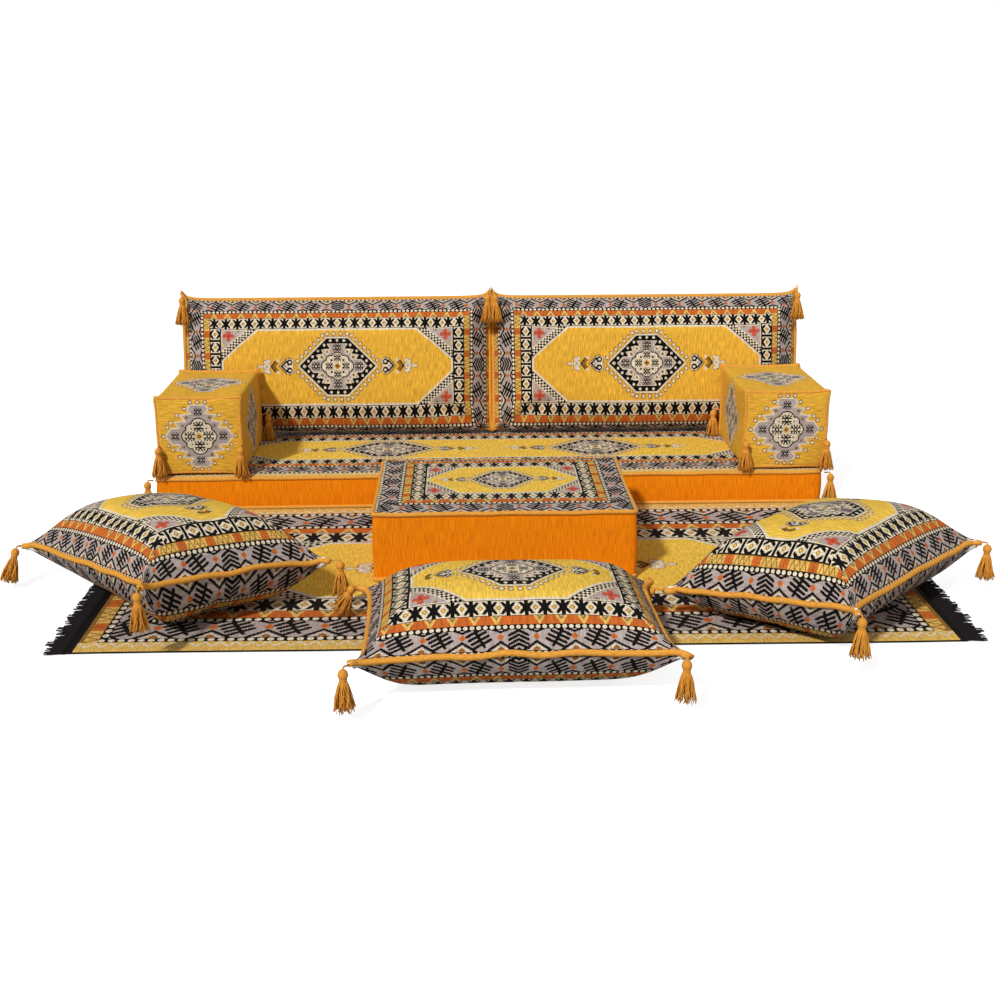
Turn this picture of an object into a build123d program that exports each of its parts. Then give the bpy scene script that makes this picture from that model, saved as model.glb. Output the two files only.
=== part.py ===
# Majlis floor sofa: a matching set of kilim covered floor seating, in millimetres.
# A seat mattress carries two back cushions and two arm blocks, and a rug in front of it
# carries an ottoman and three floor pillows.
# X runs along the seat, Y goes to its back and Z is up.
# The origin is the centre of the seat's underside, on the floor.
import os
from math import cos, floor, radians, sin, sqrt

from build123d import *

os.makedirs("parts", exist_ok=True)

# Cloth, cord and clearance used all over
cloth = 2
soft_gap = 0.3
overrun = 20

# Seat mattress, sizes over the piping and height at the edge
seat_length = 2100
seat_depth = 700
seat_height = 104
seat_crown = 6
seat_crown_margin = 90
seat_pull = 5

# Arm blocks, standing on the ends of the seat, their outer sides over its ends
arm_width = 270
arm_height = 250
arm_length = 424
arm_setback = 20
arm_centre = 914
arm_crown = 5
arm_crown_margin = 50
arm_pull = 4

# Back cushions, corner to corner, leaning on the rear half of the seat
back_length = 1048
back_height = 488
back_long_pull = 24
back_end_pull = 6
back_rise = 74
back_soften = 150
back_tassel_stand_share = 0.6
back_lean = 10
back_foot = 160
back_spacing = 12

# The back cushions and arms stand a little to the right of the seat's centre
upper_shift = 12

# Rug, woven, with a knotted fringe at both ends
rug_length = 2137
rug_width = 1143
rug_thickness = 6
rug_shift = 44
rug_edge = 1.5
fringe_length = 62
fringe_thickness = 3
fringe_lift = 0.5
fringe_tufts = 40
fringe_tuft_width = 19
fringe_spine = 8
fringe_uneven_share = 0.14
fringe_wave_degrees = 132

# Ottoman, on the rug in front of the seat
ottoman_length = 694
ottoman_depth = 554
ottoman_height = 185
ottoman_crown = 5
ottoman_crown_margin = 70
ottoman_pull = 4
ottoman_x = 20
ottoman_gap = 136

# Floor pillows, corner to corner, with how far each half stands from the seam
pillow_length = 712
pillow_depth = 512
pillow_long_pull = 22
pillow_end_pull = 26
pillow_rise = 114
pillow_soften = 168
pillow_rest_soften = 118

# Where each floor pillow lies: seam centre, turn, and rise of its long and short axes in degrees
front_pillow_x = 20
front_pillow_y = -1592
front_pillow_z = 110
front_pillow_turn = 0
front_pillow_tilt = (0, -2.4)
left_pillow_x = -845
left_pillow_y = -1095
left_pillow_z = 114
left_pillow_turn = -51.6
left_pillow_tilt = (6.2, -5.3)
right_pillow_x = 832
right_pillow_y = -1242
right_pillow_z = 107
right_pillow_turn = 49
right_pillow_tilt = (-1.5, -7)

# Straight runs in each side of a sewn outline
side_runs = 4

# Profile of one stuffed half, from the seam to its plateau
inset_shares = (0, 0.06, 0.18, 0.38, 0.66, 1)
pillow_rise_shares = (0, 0.22, 0.50, 0.76, 0.93, 1)
back_rise_shares = (0, 0.30, 0.60, 0.84, 0.96, 1)
seam_allowance = 6

# Crown of a boxed panel, from its edge to its plateau
crown_inset_shares = (0, 0.4, 1)
crown_rise_shares = (0, 0.7, 1)

# Piping: cord sewn into the seams, thick on the stuffed cushions, flatter on the boxed ones
cord_size = 10
boxed_cord_width = 7
boxed_cord_height = 9
cord_flat_share = 0.5
cord_side_share = 0.6

# Tassels: a tied head over a flared skirt, eight sided, on a short cord
tassel_length = 92
tassel_radius = 16
tassel_sides = 8
tassel_reach = 22
tassel_cord_radius = 2.5
tassel_neck_radius = 4
tassel_cord_gap = 0.6
tassel_drop_shares = (0.07, 0.15, 0.24, 0.33, 0.65, 1)
tassel_width_shares = (0.56, 0.64, 0.38, 0.58, 0.84, 1)
tassel_clearance = 0.7

# Ways that the tassels point, in degrees, from the front left corner of each cushion round to its rear left
seat_headings = (225, 315, 45, 135)
arm_headings = (270, 270, 0, 180)
front_pillow_headings = (245, 240, 100, 135)
left_pillow_headings = (255, 270, 350, 100)
right_pillow_headings = (270, 285, 80, 150)

# Zips: tape with its closed chain, and a slider that runs along it
seat_zip_length = 1200
ottoman_zip_length = 420
arm_zip_length = 180
back_zip_length = 560
zip_tape_width = 26
zip_tape_thickness = 0.8
zip_chain_width = 5
zip_chain_height = 1.6
zip_margin = 16
slider_length = 11
slider_width = 10
slider_height = 4
slider_edge = 1
pull_length = 24
pull_width = 7
pull_thickness = 1.4
pull_hole_radius = 1.8


def signs():
    """Corner signs of a rectangle, counterclockwise from its lower left."""
    return [(-1, -1), (1, -1), (1, 1), (-1, 1)]


def pull_share(share):
    """Share of a side's pull that draws it in, at a share of the way along its straight runs."""
    run = floor(share * side_runs)
    start, stop = (4 * end / side_runs * (1 - end / side_runs) for end in (run, run + 1))
    return start + (stop - start) * (share * side_runs - run)


def outline(plane, length, depth, long_pull, end_pull):
    """Sewn outline with pointed corners: each side is drawn in at its middle, in a few straight runs."""
    points = []
    for (x, y), (next_x, next_y) in zip(signs(), signs()[1:] + signs()[:1]):
        for run in range(side_runs):
            share = run / side_runs
            along_x = x + (next_x - x) * share
            along_y = y + (next_y - y) * share
            in_x = end_pull * pull_share(share) * (x + next_x) / 2
            in_y = long_pull * pull_share(share) * (y + next_y) / 2
            points.append((along_x * length / 2 - in_x, along_y * depth / 2 - in_y))
    with BuildSketch(plane) as face:
        with BuildLine():
            Polyline(*points, close=True)
        make_face()
    return face.sketch


def write(piece, name):
    piece.part.label = name
    export_step(piece.part, "parts/" + name + ".step")


def plane_between(start, finish, share):
    """Plane that lies and turns a share of the way from one plane to another."""
    return Plane(
        origin=start.origin + (finish.origin - start.origin) * share,
        x_dir=start.x_dir + (finish.x_dir - start.x_dir) * share,
        z_dir=start.z_dir + (finish.z_dir - start.z_dir) * share,
    )


def half_sections(seam, plateau, size, soften, rise_shares, wall, edge):
    """Outlines of one half, from the seam plane to its plateau, moved inwards by wall and edge."""
    length, depth, long_pull, end_pull = size
    depth_share = 1 - wall / (plateau.origin - seam.origin).length
    return [
        outline(
            plane_between(seam, plateau, up * depth_share),
            length - 2 * (soften * inset + edge),
            depth - 2 * (soften * inset + edge),
            long_pull,
            end_pull,
        )
        for inset, up in zip(inset_shares, rise_shares)
    ]


def stuffed_half(seam, plateau, soften, size, rise_shares):
    """Cover of one half: the outer form less the same form one cloth further in."""
    form = (seam, plateau, size, soften, rise_shares)
    with BuildPart() as half:
        loft(half_sections(*form, 0, 0), ruled=True)
        loft(half_sections(*form, cloth, seam_allowance), ruled=True, mode=Mode.SUBTRACT)
    return half


def stuffed_insert(seam, halves, size, rise_shares):
    """Stuffing in its liner: both halves, clear of the cover by the soft gap."""
    wall = cloth + soft_gap
    edge = seam_allowance + soft_gap
    with BuildPart() as insert:
        for plateau, soften in halves:
            loft(half_sections(seam, plateau, size, soften, rise_shares, wall, edge), ruled=True)
    return insert


def piping_ring(plane, length, depth, pulls, width, height):
    """Cord round an outline, centred on the plane, with its outer side rounded by flats."""
    long_pull, end_pull = pulls
    half = height / 2
    levels = (
        (-half, cord_side_share * width),
        (-half * cord_flat_share, width),
        (half * cord_flat_share, width),
        (half, cord_side_share * width),
    )
    with BuildPart() as ring:
        loft(
            [
                outline(plane.offset(z), length + 2 * out, depth + 2 * out, long_pull, end_pull)
                for z, out in levels
            ],
            ruled=True,
        )
        extrude(
            outline(plane.offset(-height), length, depth, long_pull, end_pull),
            amount=2 * height,
            mode=Mode.SUBTRACT,
        )
    return ring


def tassel_ring(centre, side, way, radius):
    """One eight sided section of a tassel, square to the way that it runs."""
    with BuildSketch(Plane(origin=centre, x_dir=side, z_dir=way)) as ring:
        RegularPolygon(radius=radius, side_count=tassel_sides)
    return ring.sketch


def make_tassels(name, places):
    """One tassel for each place: the piping corner, the head's top and the way that it hangs."""
    with BuildPart() as tassels:
        for corner, top, down in places:
            cord = (top - corner).normalized()
            side = cord.cross(down).normalized()
            sections = [
                tassel_ring(corner + cord * tassel_cord_gap, side, cord, tassel_cord_radius),
                tassel_ring(top, side, (cord + down).normalized(), tassel_neck_radius),
            ]
            for drop, width in zip(tassel_drop_shares, tassel_width_shares):
                centre = top + down * (tassel_length * drop)
                sections.append(tassel_ring(centre, side, down, tassel_radius * width))
            loft(sections, ruled=True)
    write(tassels, name)


def hanging(corner, heading, ground):
    """Place of a tassel off a corner along a heading: it hangs, or lies where the ground is near."""
    out = Vector(cos(radians(heading)), sin(radians(heading)), 0)
    fall = min(1, (corner.Z - ground - tassel_radius) / tassel_length)
    down = out * sqrt(1 - fall**2) - Vector(0, 0, fall)
    return corner, corner + out * tassel_reach, down


def zip_pull_share(length, side):
    """Share of a boxed cushion's pull at the ends of a zip, centred on a side of that length."""
    return pull_share((1 + length / (side - 2 * boxed_cord_width)) / 2)


def make_zip(name, face, length):
    """Zip on a cover's outer face: tape and chain, and the slider parked at its left end."""
    tape_top = soft_gap + zip_tape_thickness
    with BuildPart() as tape:
        with BuildSketch(face.offset(soft_gap)):
            Rectangle(length, zip_tape_width)
        extrude(amount=zip_tape_thickness)
        with BuildSketch(face.offset(tape_top)):
            Rectangle(length - zip_margin, zip_chain_width)
        extrude(amount=zip_chain_height)
    write(tape, name)

    parked = face.shift_origin(face.from_local_coords((zip_margin + slider_length / 2 - length / 2, 0, 0)))
    with BuildPart() as slider:
        with BuildSketch(parked.offset(tape_top + soft_gap)) as body:
            Rectangle(slider_length, slider_width)
            chamfer(body.vertices(), slider_edge)
        extrude(amount=slider_height)
        with BuildSketch(parked.offset(tape_top)):
            Rectangle(slider_length + overrun, zip_chain_width + 2 * soft_gap)
        extrude(amount=zip_chain_height + soft_gap, mode=Mode.SUBTRACT)
        with BuildSketch(parked.offset(tape_top + soft_gap + slider_height)) as pull:
            with Locations((0, (slider_width - pull_length) / 2)):
                Rectangle(pull_width, pull_length)
            chamfer(pull.vertices(), slider_edge)
            with Locations((0, slider_width / 2 - pull_length + pull_width / 2)):
                RegularPolygon(radius=pull_hole_radius, side_count=tassel_sides, mode=Mode.SUBTRACT)
        extrude(amount=pull_thickness)
    write(slider, name + "_slider")


def boxed_form(base, length, depth, height, crown, margin, pull, inward):
    """Solid of a boxed cushion in the frame of its base, moved inwards all round, crowned on top."""
    outer_length = length - 2 * (boxed_cord_width + inward)
    outer_depth = depth - 2 * (boxed_cord_width + inward)
    with BuildPart() as form:
        loft(
            [outline(base.offset(inward), outer_length, outer_depth, pull, pull)]
            + [
                outline(
                    base.offset(height - inward + crown * up),
                    outer_length - 2 * margin * inset,
                    outer_depth - 2 * margin * inset,
                    pull,
                    pull,
                )
                for inset, up in zip(crown_inset_shares, crown_rise_shares)
            ],
            ruled=True,
        )
    return form


def boxed_cushion(base, length, depth, height, crown, margin, pull):
    """Pieces of a boxed cushion: foam, band, crowned panel, base panel and both rounds of piping."""
    size = (base, length, depth, height, crown, margin, pull)
    whole = boxed_form(*size, 0)
    inside = boxed_form(*size, cloth)
    core_length = length - 2 * boxed_cord_width
    core_depth = depth - 2 * boxed_cord_width

    foam = boxed_form(*size, cloth + soft_gap)

    with BuildPart() as band:
        extrude(outline(base.offset(cloth), core_length, core_depth, pull, pull), amount=height - 2 * cloth)
        extrude(
            outline(base.offset(0), core_length - 2 * cloth, core_depth - 2 * cloth, pull, pull),
            amount=height,
            mode=Mode.SUBTRACT,
        )

    with BuildPart() as top_panel:
        add(whole.part)
        add(inside.part, mode=Mode.SUBTRACT)
        extrude(
            outline(base.offset(-overrun), length, depth, pull, pull),
            amount=overrun + height - cloth,
            mode=Mode.SUBTRACT,
        )

    with BuildPart() as base_panel:
        extrude(outline(base, core_length, core_depth, pull, pull), amount=cloth)

    pulls = (pull, pull)
    cord = (boxed_cord_width, boxed_cord_height)
    low = base.offset(boxed_cord_height / 2 + soft_gap)
    high = base.offset(height - boxed_cord_height / 2)
    with BuildPart() as piping:
        add(piping_ring(low, core_length, core_depth, pulls, *cord).part)
        add(piping_ring(high, core_length, core_depth, pulls, *cord).part)

    return foam, band, top_panel, base_panel, piping


# Seat mattress: foam in a boxed cover with piping at both edges and a tassel at each corner
seat_base = Plane.XY
foam, band, top_panel, base_panel, piping = boxed_cushion(
    seat_base, seat_length, seat_depth, seat_height, seat_crown, seat_crown_margin, seat_pull
)
write(foam, "seat_foam")
write(band, "seat_band")
write(top_panel, "seat_top_panel")
write(base_panel, "seat_base_panel")
write(piping, "seat_piping")

seat_cord_level = seat_height - boxed_cord_height / 2
make_tassels(
    "seat_tassels",
    [
        hanging(
            Vector(x * seat_length / 2, y * seat_depth / 2, seat_cord_level),
            heading,
            -tassel_radius,
        )
        for (x, y), heading in zip(signs(), seat_headings)
    ],
)

seat_rear = seat_depth / 2 - boxed_cord_width - seat_pull * zip_pull_share(seat_zip_length, seat_length)
seat_zip_face = Plane(origin=(0, seat_rear, seat_height / 2), x_dir=(-1, 0, 0), z_dir=(0, 1, 0))
make_zip("seat_zip", seat_zip_face, seat_zip_length)

# Arm blocks: foam in a sleeve with a panel at each end, lying along the seat's ends
seat_top = seat_height + seat_crown
arm_front = arm_setback - seat_depth / 2
arm_middle_height = seat_top + soft_gap + arm_height / 2
for name, side in (("arm_left", -1), ("arm_right", 1)):
    arm_x = upper_shift + side * arm_centre
    arm_base = Plane(
        origin=(arm_x, arm_front + arm_length, arm_middle_height), x_dir=(1, 0, 0), z_dir=(0, -1, 0)
    )
    foam, sleeve, front_panel, rear_panel, piping = boxed_cushion(
        arm_base,
        arm_width,
        arm_height,
        arm_length - arm_crown,
        arm_crown,
        arm_crown_margin,
        arm_pull,
    )
    with BuildPart() as end_panels:
        add(front_panel.part)
        add(rear_panel.part)
    write(foam, name + "_foam")
    write(sleeve, name + "_sleeve")
    write(end_panels, name + "_end_panels")
    write(piping, name + "_piping")

    tassel_level = seat_top + tassel_clearance + tassel_length
    tassel_ground = seat_top - tassel_radius
    front_cord = arm_front + arm_crown
    rear_cord = arm_front + arm_length - boxed_cord_height / 2
    drawn_in = arm_pull * pull_share((tassel_level - arm_middle_height) / arm_height + 1 / 2)
    side_reach = arm_width / 2 - drawn_in
    face_reach = side_reach - boxed_cord_width * (1 - cord_side_share / 2)
    arm_corners = (
        Vector(arm_x - face_reach, front_cord, tassel_level),
        Vector(arm_x + face_reach, front_cord, tassel_level),
        Vector(arm_x + side_reach, rear_cord, tassel_level),
        Vector(arm_x - side_reach, rear_cord, tassel_level),
    )
    make_tassels(
        name + "_tassels",
        [hanging(corner, heading, tassel_ground) for corner, heading in zip(arm_corners, arm_headings)],
    )
    make_zip(
        name + "_zip",
        Plane(
            origin=(arm_x, arm_front + arm_length, arm_middle_height), x_dir=(-1, 0, 0), z_dir=(0, 1, 0)
        ),
        arm_zip_length,
    )

# Back cushions: stuffed inserts in knife edge covers, leaning back on the rear of the seat
back_size = (back_length, back_height, back_long_pull, back_end_pull)
back_up = Vector(0, sin(radians(back_lean)), cos(radians(back_lean)))
back_corner_level = seat_top + soft_gap + cord_size + cord_size * sin(radians(back_lean)) / 2
for name, side in (("back_left", -1), ("back_right", 1)):
    back_x = upper_shift + side * (back_length + 2 * cord_size + back_spacing) / 2
    back_centre = Vector(back_x, back_foot, back_corner_level) + back_up * (back_height / 2)
    front_seam = Plane(
        origin=back_centre, x_dir=(1, 0, 0), z_dir=(0, -cos(radians(back_lean)), sin(radians(back_lean)))
    )
    front_plateau = front_seam.offset(back_rise)
    rear_plateau = front_seam.offset(-back_rise)
    halves = ((front_plateau, back_soften), (rear_plateau, back_soften))
    write(stuffed_insert(front_seam, halves, back_size, back_rise_shares), name + "_insert")
    write(stuffed_half(front_seam, *halves[0], back_size, back_rise_shares), name + "_cover_front")
    write(stuffed_half(front_seam, *halves[1], back_size, back_rise_shares), name + "_cover_back")
    write(
        piping_ring(
            front_seam, back_length, back_height, (back_long_pull, back_end_pull), cord_size, cord_size
        ),
        name + "_piping",
    )

    tassel_stand = back_rise * back_tassel_stand_share + tassel_radius
    places = []
    for end in (-1, 1):
        corner = front_seam.from_local_coords(
            Vector(
                end * (back_length / 2 + cord_size * cord_side_share / 2),
                back_height / 2 + cord_size * cord_side_share / 2,
                cord_size / 2,
            )
        )
        top = front_seam.from_local_coords(
            Vector(end * (back_length / 2 + cord_size - tassel_radius), back_height / 2, tassel_stand)
        )
        places.append((corner, top, -back_up))
    make_tassels(name + "_tassels", places)

    zip_height = back_soften + zip_tape_width - back_height / 2
    back_zip_face = Plane(
        origin=rear_plateau.origin + back_up * zip_height, x_dir=(-1, 0, 0), z_dir=-front_seam.z_dir
    )
    make_zip(name + "_zip", back_zip_face, back_zip_length)

# Rug: one woven piece on the floor in front of the seat, with a fringe at both ends
rug_back = -seat_depth / 2 - soft_gap
rug_middle = rug_back - rug_width / 2
with BuildPart() as rug:
    with BuildSketch(Plane((rug_shift, rug_middle, 0))):
        Rectangle(rug_length, rug_width)
    extrude(amount=rug_thickness)
    chamfer(rug.faces().sort_by(Axis.Z)[-1].edges(), rug_edge)
write(rug, "rug")

fringe_pitch = rug_width / fringe_tufts
with BuildPart() as fringe:
    for side in (-1, 1):
        end_x = rug_shift + side * rug_length / 2
        with BuildSketch(Plane((end_x, rug_middle, fringe_lift))):
            with Locations((side * fringe_spine / 2, 0)):
                Rectangle(fringe_spine, rug_width - fringe_tuft_width)
            for tuft in range(fringe_tufts):
                wave = (1 + sin(radians(fringe_wave_degrees * tuft + side))) / 2
                reach = fringe_length * (1 - fringe_uneven_share * wave)
                tuft_y = fringe_pitch * (tuft + 0.5) - rug_width / 2
                with Locations((side * reach / 2, tuft_y)):
                    Rectangle(reach, fringe_tuft_width)
        extrude(amount=fringe_thickness)
write(fringe, "rug_fringe")

# Ottoman: a boxed foam block on the rug
on_rug = rug_thickness + soft_gap
ottoman_y = -seat_depth / 2 - ottoman_gap - ottoman_depth / 2
ottoman_base = Plane((ottoman_x, ottoman_y, on_rug))
foam, band, top_panel, base_panel, piping = boxed_cushion(
    ottoman_base,
    ottoman_length,
    ottoman_depth,
    ottoman_height,
    ottoman_crown,
    ottoman_crown_margin,
    ottoman_pull,
)
write(foam, "ottoman_foam")
write(band, "ottoman_band")
write(top_panel, "ottoman_top_panel")
write(base_panel, "ottoman_base_panel")
write(piping, "ottoman_piping")
ottoman_drawn_in = ottoman_pull * zip_pull_share(ottoman_zip_length, ottoman_length)
ottoman_rear = ottoman_y + ottoman_depth / 2 - boxed_cord_width - ottoman_drawn_in
ottoman_zip_face = Plane(
    origin=(ottoman_x, ottoman_rear, on_rug + ottoman_height / 2), x_dir=(-1, 0, 0), z_dir=(0, 1, 0)
)
make_zip("ottoman_zip", ottoman_zip_face, ottoman_zip_length)

# Floor pillows: stuffed inserts in knife edge covers, each lying tilted on its own belly
pillow_size = (pillow_length, pillow_depth, pillow_long_pull, pillow_end_pull)


def pillow_plane(centre, turn, tilt):
    """Seam plane of a pillow, from its turn and the rise of its long and short axes."""
    turned = radians(turn)
    long_rise, short_rise = (radians(angle) for angle in tilt)
    along = Vector(cos(turned) * cos(long_rise), sin(turned) * cos(long_rise), sin(long_rise))
    flat_across = Vector(-sin(turned), cos(turned), 0)
    flat_normal = along.cross(flat_across)
    across = flat_across * cos(short_rise) + flat_normal * sin(short_rise)
    return Plane(origin=centre, x_dir=along, z_dir=along.cross(across))


pillows = (
    (
        "pillow_front",
        Vector(front_pillow_x, front_pillow_y, front_pillow_z),
        front_pillow_turn,
        front_pillow_tilt,
        front_pillow_headings,
    ),
    (
        "pillow_left",
        Vector(left_pillow_x, left_pillow_y, left_pillow_z),
        left_pillow_turn,
        left_pillow_tilt,
        left_pillow_headings,
    ),
    (
        "pillow_right",
        Vector(right_pillow_x, right_pillow_y, right_pillow_z),
        right_pillow_turn,
        right_pillow_tilt,
        right_pillow_headings,
    ),
)
for name, centre, turn, tilt, headings in pillows:
    seam = pillow_plane(centre, turn, tilt)
    belly = pillow_plane(Vector(centre.X, centre.Y, on_rug), turn, (0, 0))
    halves = ((seam.offset(pillow_rise), pillow_soften), (belly, pillow_rest_soften))
    write(stuffed_insert(seam, halves, pillow_size, pillow_rise_shares), name + "_insert")
    write(stuffed_half(seam, *halves[0], pillow_size, pillow_rise_shares), name + "_cover_top")
    write(stuffed_half(seam, *halves[1], pillow_size, pillow_rise_shares), name + "_cover_bottom")
    write(
        piping_ring(
            seam, pillow_length, pillow_depth, (pillow_long_pull, pillow_end_pull), cord_size, cord_size
        ),
        name + "_piping",
    )
    places = []
    for (x, y), heading in zip(signs(), headings):
        corner = seam.from_local_coords(
            Vector(x * (pillow_length / 2 + cord_size), y * (pillow_depth / 2 + cord_size), 0)
        )
        places.append(hanging(corner, heading, on_rug))
    make_tassels(name + "_tassels", places)
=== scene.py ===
from math import cos, pi, radians, sin, sqrt

import bpy
import numpy
from mathutils import Matrix, Vector


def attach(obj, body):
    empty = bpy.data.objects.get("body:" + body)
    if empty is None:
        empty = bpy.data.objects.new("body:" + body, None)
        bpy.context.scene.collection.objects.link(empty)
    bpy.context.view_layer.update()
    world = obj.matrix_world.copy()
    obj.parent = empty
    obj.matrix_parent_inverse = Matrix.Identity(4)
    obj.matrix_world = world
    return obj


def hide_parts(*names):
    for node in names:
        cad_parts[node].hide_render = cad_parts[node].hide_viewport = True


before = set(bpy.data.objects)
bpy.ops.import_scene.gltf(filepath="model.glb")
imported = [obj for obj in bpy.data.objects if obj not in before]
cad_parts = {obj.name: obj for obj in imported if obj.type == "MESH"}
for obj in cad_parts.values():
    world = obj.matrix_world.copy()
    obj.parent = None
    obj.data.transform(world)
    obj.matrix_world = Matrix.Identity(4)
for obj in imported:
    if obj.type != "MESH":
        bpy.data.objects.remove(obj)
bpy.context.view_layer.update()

# Camera and studio: the photograph's view, fitted to the edges of the set, over a plain white floor.
# One strong light stands high at the front left, as the sun does there, and the white room fills the shadows.
CAMERA_PLACE = (-0.0755, -4.535, 1.282)
CAMERA_YAW, CAMERA_PITCH, CAMERA_ROLL = radians(1.42), radians(16.74), radians(-0.31)
camera_data = bpy.data.cameras.new("camera")
camera_data.lens = 50.04
camera_data.sensor_width = 36
camera = bpy.data.objects.new("camera", camera_data)
bpy.context.collection.objects.link(camera)
camera.matrix_world = (
    Matrix.Translation(CAMERA_PLACE)
    @ Matrix.Rotation(-CAMERA_YAW, 4, "Z")
    @ Matrix.Rotation(pi / 2 - CAMERA_PITCH, 4, "X")
    @ Matrix.Rotation(CAMERA_ROLL, 4, "Z")
)
bpy.context.scene.camera = camera
bpy.context.scene.view_settings.view_transform = "Standard"


def colour(code):
    """Linear colour of an sRGB hex code."""
    parts = (int(code[i : i + 2], 16) / 255 for i in (0, 2, 4))
    return tuple(p / 12.92 if p <= 0.04045 else ((p + 0.055) / 1.055) ** 2.4 for p in parts) + (1,)


def add(tree, kind, *inputs, output=0, **settings):
    """Adds a node, with its settings and its inputs as values or links, and gives one of its outputs."""
    made = tree.nodes.new("ShaderNode" + kind)
    for name, value in settings.items():
        setattr(made, name, value)
    for socket, value in zip(made.inputs, inputs):
        if isinstance(value, bpy.types.NodeSocket):
            tree.links.new(value, socket)
        elif value is not None:
            socket.default_value = value
    return made.outputs[output]


def maths(tree, operation, *inputs):
    """Adds a node of arithmetic."""
    return add(tree, "Math", *inputs, operation=operation)


def vectors(tree, operation, *inputs):
    """Adds a node of vector arithmetic. A length or a dot product comes out of the second socket."""
    return add(tree, "VectorMath", *inputs, operation=operation, output=int(operation in ("LENGTH", "DOT_PRODUCT")))


def scaled(tree, vector, factor):
    """Adds a node that multiplies a vector by a number."""
    return vectors(tree, "SCALE", vector, None, None, factor)


def mixed(tree, share, low, high):
    """Adds a node that goes from one number to another."""
    return add(tree, "Mix", share, None, low, high)


def tinted(tree, share, low, high, blend="MIX"):
    """Adds a node that goes from one colour to another, in that blend."""
    return add(tree, "Mix", share, *[None] * 5, low, high, data_type="RGBA", blend_type=blend, output=2)


def taken_apart(tree, vector):
    """Adds a node that gives a vector's parts."""
    made = tree.nodes.new("ShaderNodeSeparateXYZ")
    tree.links.new(vector, made.inputs[0])
    return made.outputs


def finish(name, roughness):
    """A new material with its tree and shader, at that roughness."""
    made = bpy.data.materials.new(name)
    made.use_nodes = True
    shader = made.node_tree.nodes["Principled BSDF"]
    shader.inputs["Roughness"].default_value = roughness
    shader.inputs["Specular IOR Level"].default_value = 0.1
    return made, made.node_tree, shader


def paint(tree, shader, shade, height=None, strength=0.0, distance=0.0):
    """Gives a shader its colour and, with a height, its relief."""
    tree.links.new(shade, shader.inputs["Base Color"])
    if height:
        relief = tree.nodes.new("ShaderNodeBump")
        relief.inputs["Strength"].default_value = strength
        relief.inputs["Distance"].default_value = distance
        tree.links.new(height, relief.inputs["Height"])
        tree.links.new(relief.outputs[0], shader.inputs["Normal"])


ROOM_LIGHT = 0.32
world = bpy.data.worlds.new("white studio")
world.use_nodes = True
bpy.context.scene.world = world
room = world.node_tree
rays = room.nodes.new("ShaderNodeLightPath").outputs
seen = maths(room, "MAXIMUM", rays["Is Camera Ray"], rays["Is Glossy Ray"])
seen = maths(room, "MAXIMUM", seen, rays["Is Transmission Ray"])
strength = maths(room, "MULTIPLY_ADD", seen, 1 - ROOM_LIGHT, ROOM_LIGHT)
room.nodes["Background"].inputs["Color"].default_value = (1, 1, 1, 1)
room.links.new(strength, room.nodes["Background"].inputs["Strength"])

for lamp_name, kind, place, energy, width in (
    ("key light", "SUN", (-2.7, -5.1, 4.6), 3.2, 0.08),
    ("fill light", "AREA", (3.8, -3.2, 3.0), 30, 3.0),
):
    lamp_data = bpy.data.lights.new(lamp_name, kind)
    lamp_data.energy = energy
    setattr(lamp_data, "angle" if kind == "SUN" else "size", width)
    lamp = bpy.data.objects.new(lamp_name, lamp_data)
    lamp.location = place
    lamp.rotation_euler = (Vector((0, -0.5, 0.1)) - lamp.location).to_track_quat("-Z", "Y").to_euler()
    bpy.context.collection.objects.link(lamp)

bpy.ops.object.select_all(action="DESELECT")
bpy.ops.mesh.primitive_plane_add(size=40, location=(0, 0, -0.0015))
floor = bpy.context.object
floor.name = "studio_floor"
bpy.ops.object.transform_apply()
floor_paint, floor_tree, floor_shader = finish("white paint on a smooth floor", 0.9)
floor_shader.inputs["Base Color"].default_value = (0.42, 0.42, 0.42, 1)
floor_shader.inputs["Emission Color"].default_value = (1, 1, 1, 1)
seen = floor_tree.nodes.new("ShaderNodeLightPath")
bright = maths(floor_tree, "MULTIPLY", seen.outputs["Is Camera Ray"], 0.82)
floor_tree.links.new(bright, floor_shader.inputs["Emission Strength"])
floor.data.materials.append(floor_paint)

# Seat mattress: a block of foam in a boxed cover. A kilim panel lies on top, a band of orange chenille
# goes round the sides and plain cotton is underneath, with gold piping in both seams.
CLOTH = 0.002
REST_GAP = 0.0003
FOAM_GAP = 0.003
SEAT_SIZE = (2.1, 0.7, 0.104)
SEAT_CROWN = 0.006
SEAT_PULL = 0.005
SEAT_ZIP = 1.2
ZIP_MARGIN = 0.03
BOXED_CORD = (0.0035, 0.0045)
BOXED_CORD_SHOWN = (0.0060, 0.0062)
BOXED_CORD_STEP = 0.012
BOXED_PRESSURE, BOXED_STEPS, BOXED_GIVE = 1.2, 14, 0.004
BOXED_WAVE = 0.3
CORD_WAVE, CORD_WAVE_LENGTH = 0.0022, 0.17
CROWN_SHOULDER = 0.35
BAND_BELLY = 0.0035
SIDE_LUMPS = 0.6


def take(piece):
    """Selects one piece alone and makes it the active one."""
    bpy.ops.object.select_all(action="DESELECT")
    piece.select_set(True)
    bpy.context.view_layer.objects.active = piece


def places_of(piece):
    """The places of a piece's vertices, one row each."""
    flat = numpy.empty(len(piece.data.vertices) * 3, numpy.float32)
    piece.data.vertices.foreach_get("co", flat)
    return flat.reshape(-1, 3).astype(float)


def place(piece, places):
    """Puts a piece's vertices at those places."""
    piece.data.vertices.foreach_set("co", places.astype(numpy.float32).ravel())
    piece.data.update()


def normals_of(piece):
    """The normals at a piece's vertices, one row each."""
    normals = numpy.empty(len(piece.data.vertices) * 3, numpy.float32)
    piece.data.vertex_normals.foreach_get("vector", normals)
    return normals.reshape(-1, 3)


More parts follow.
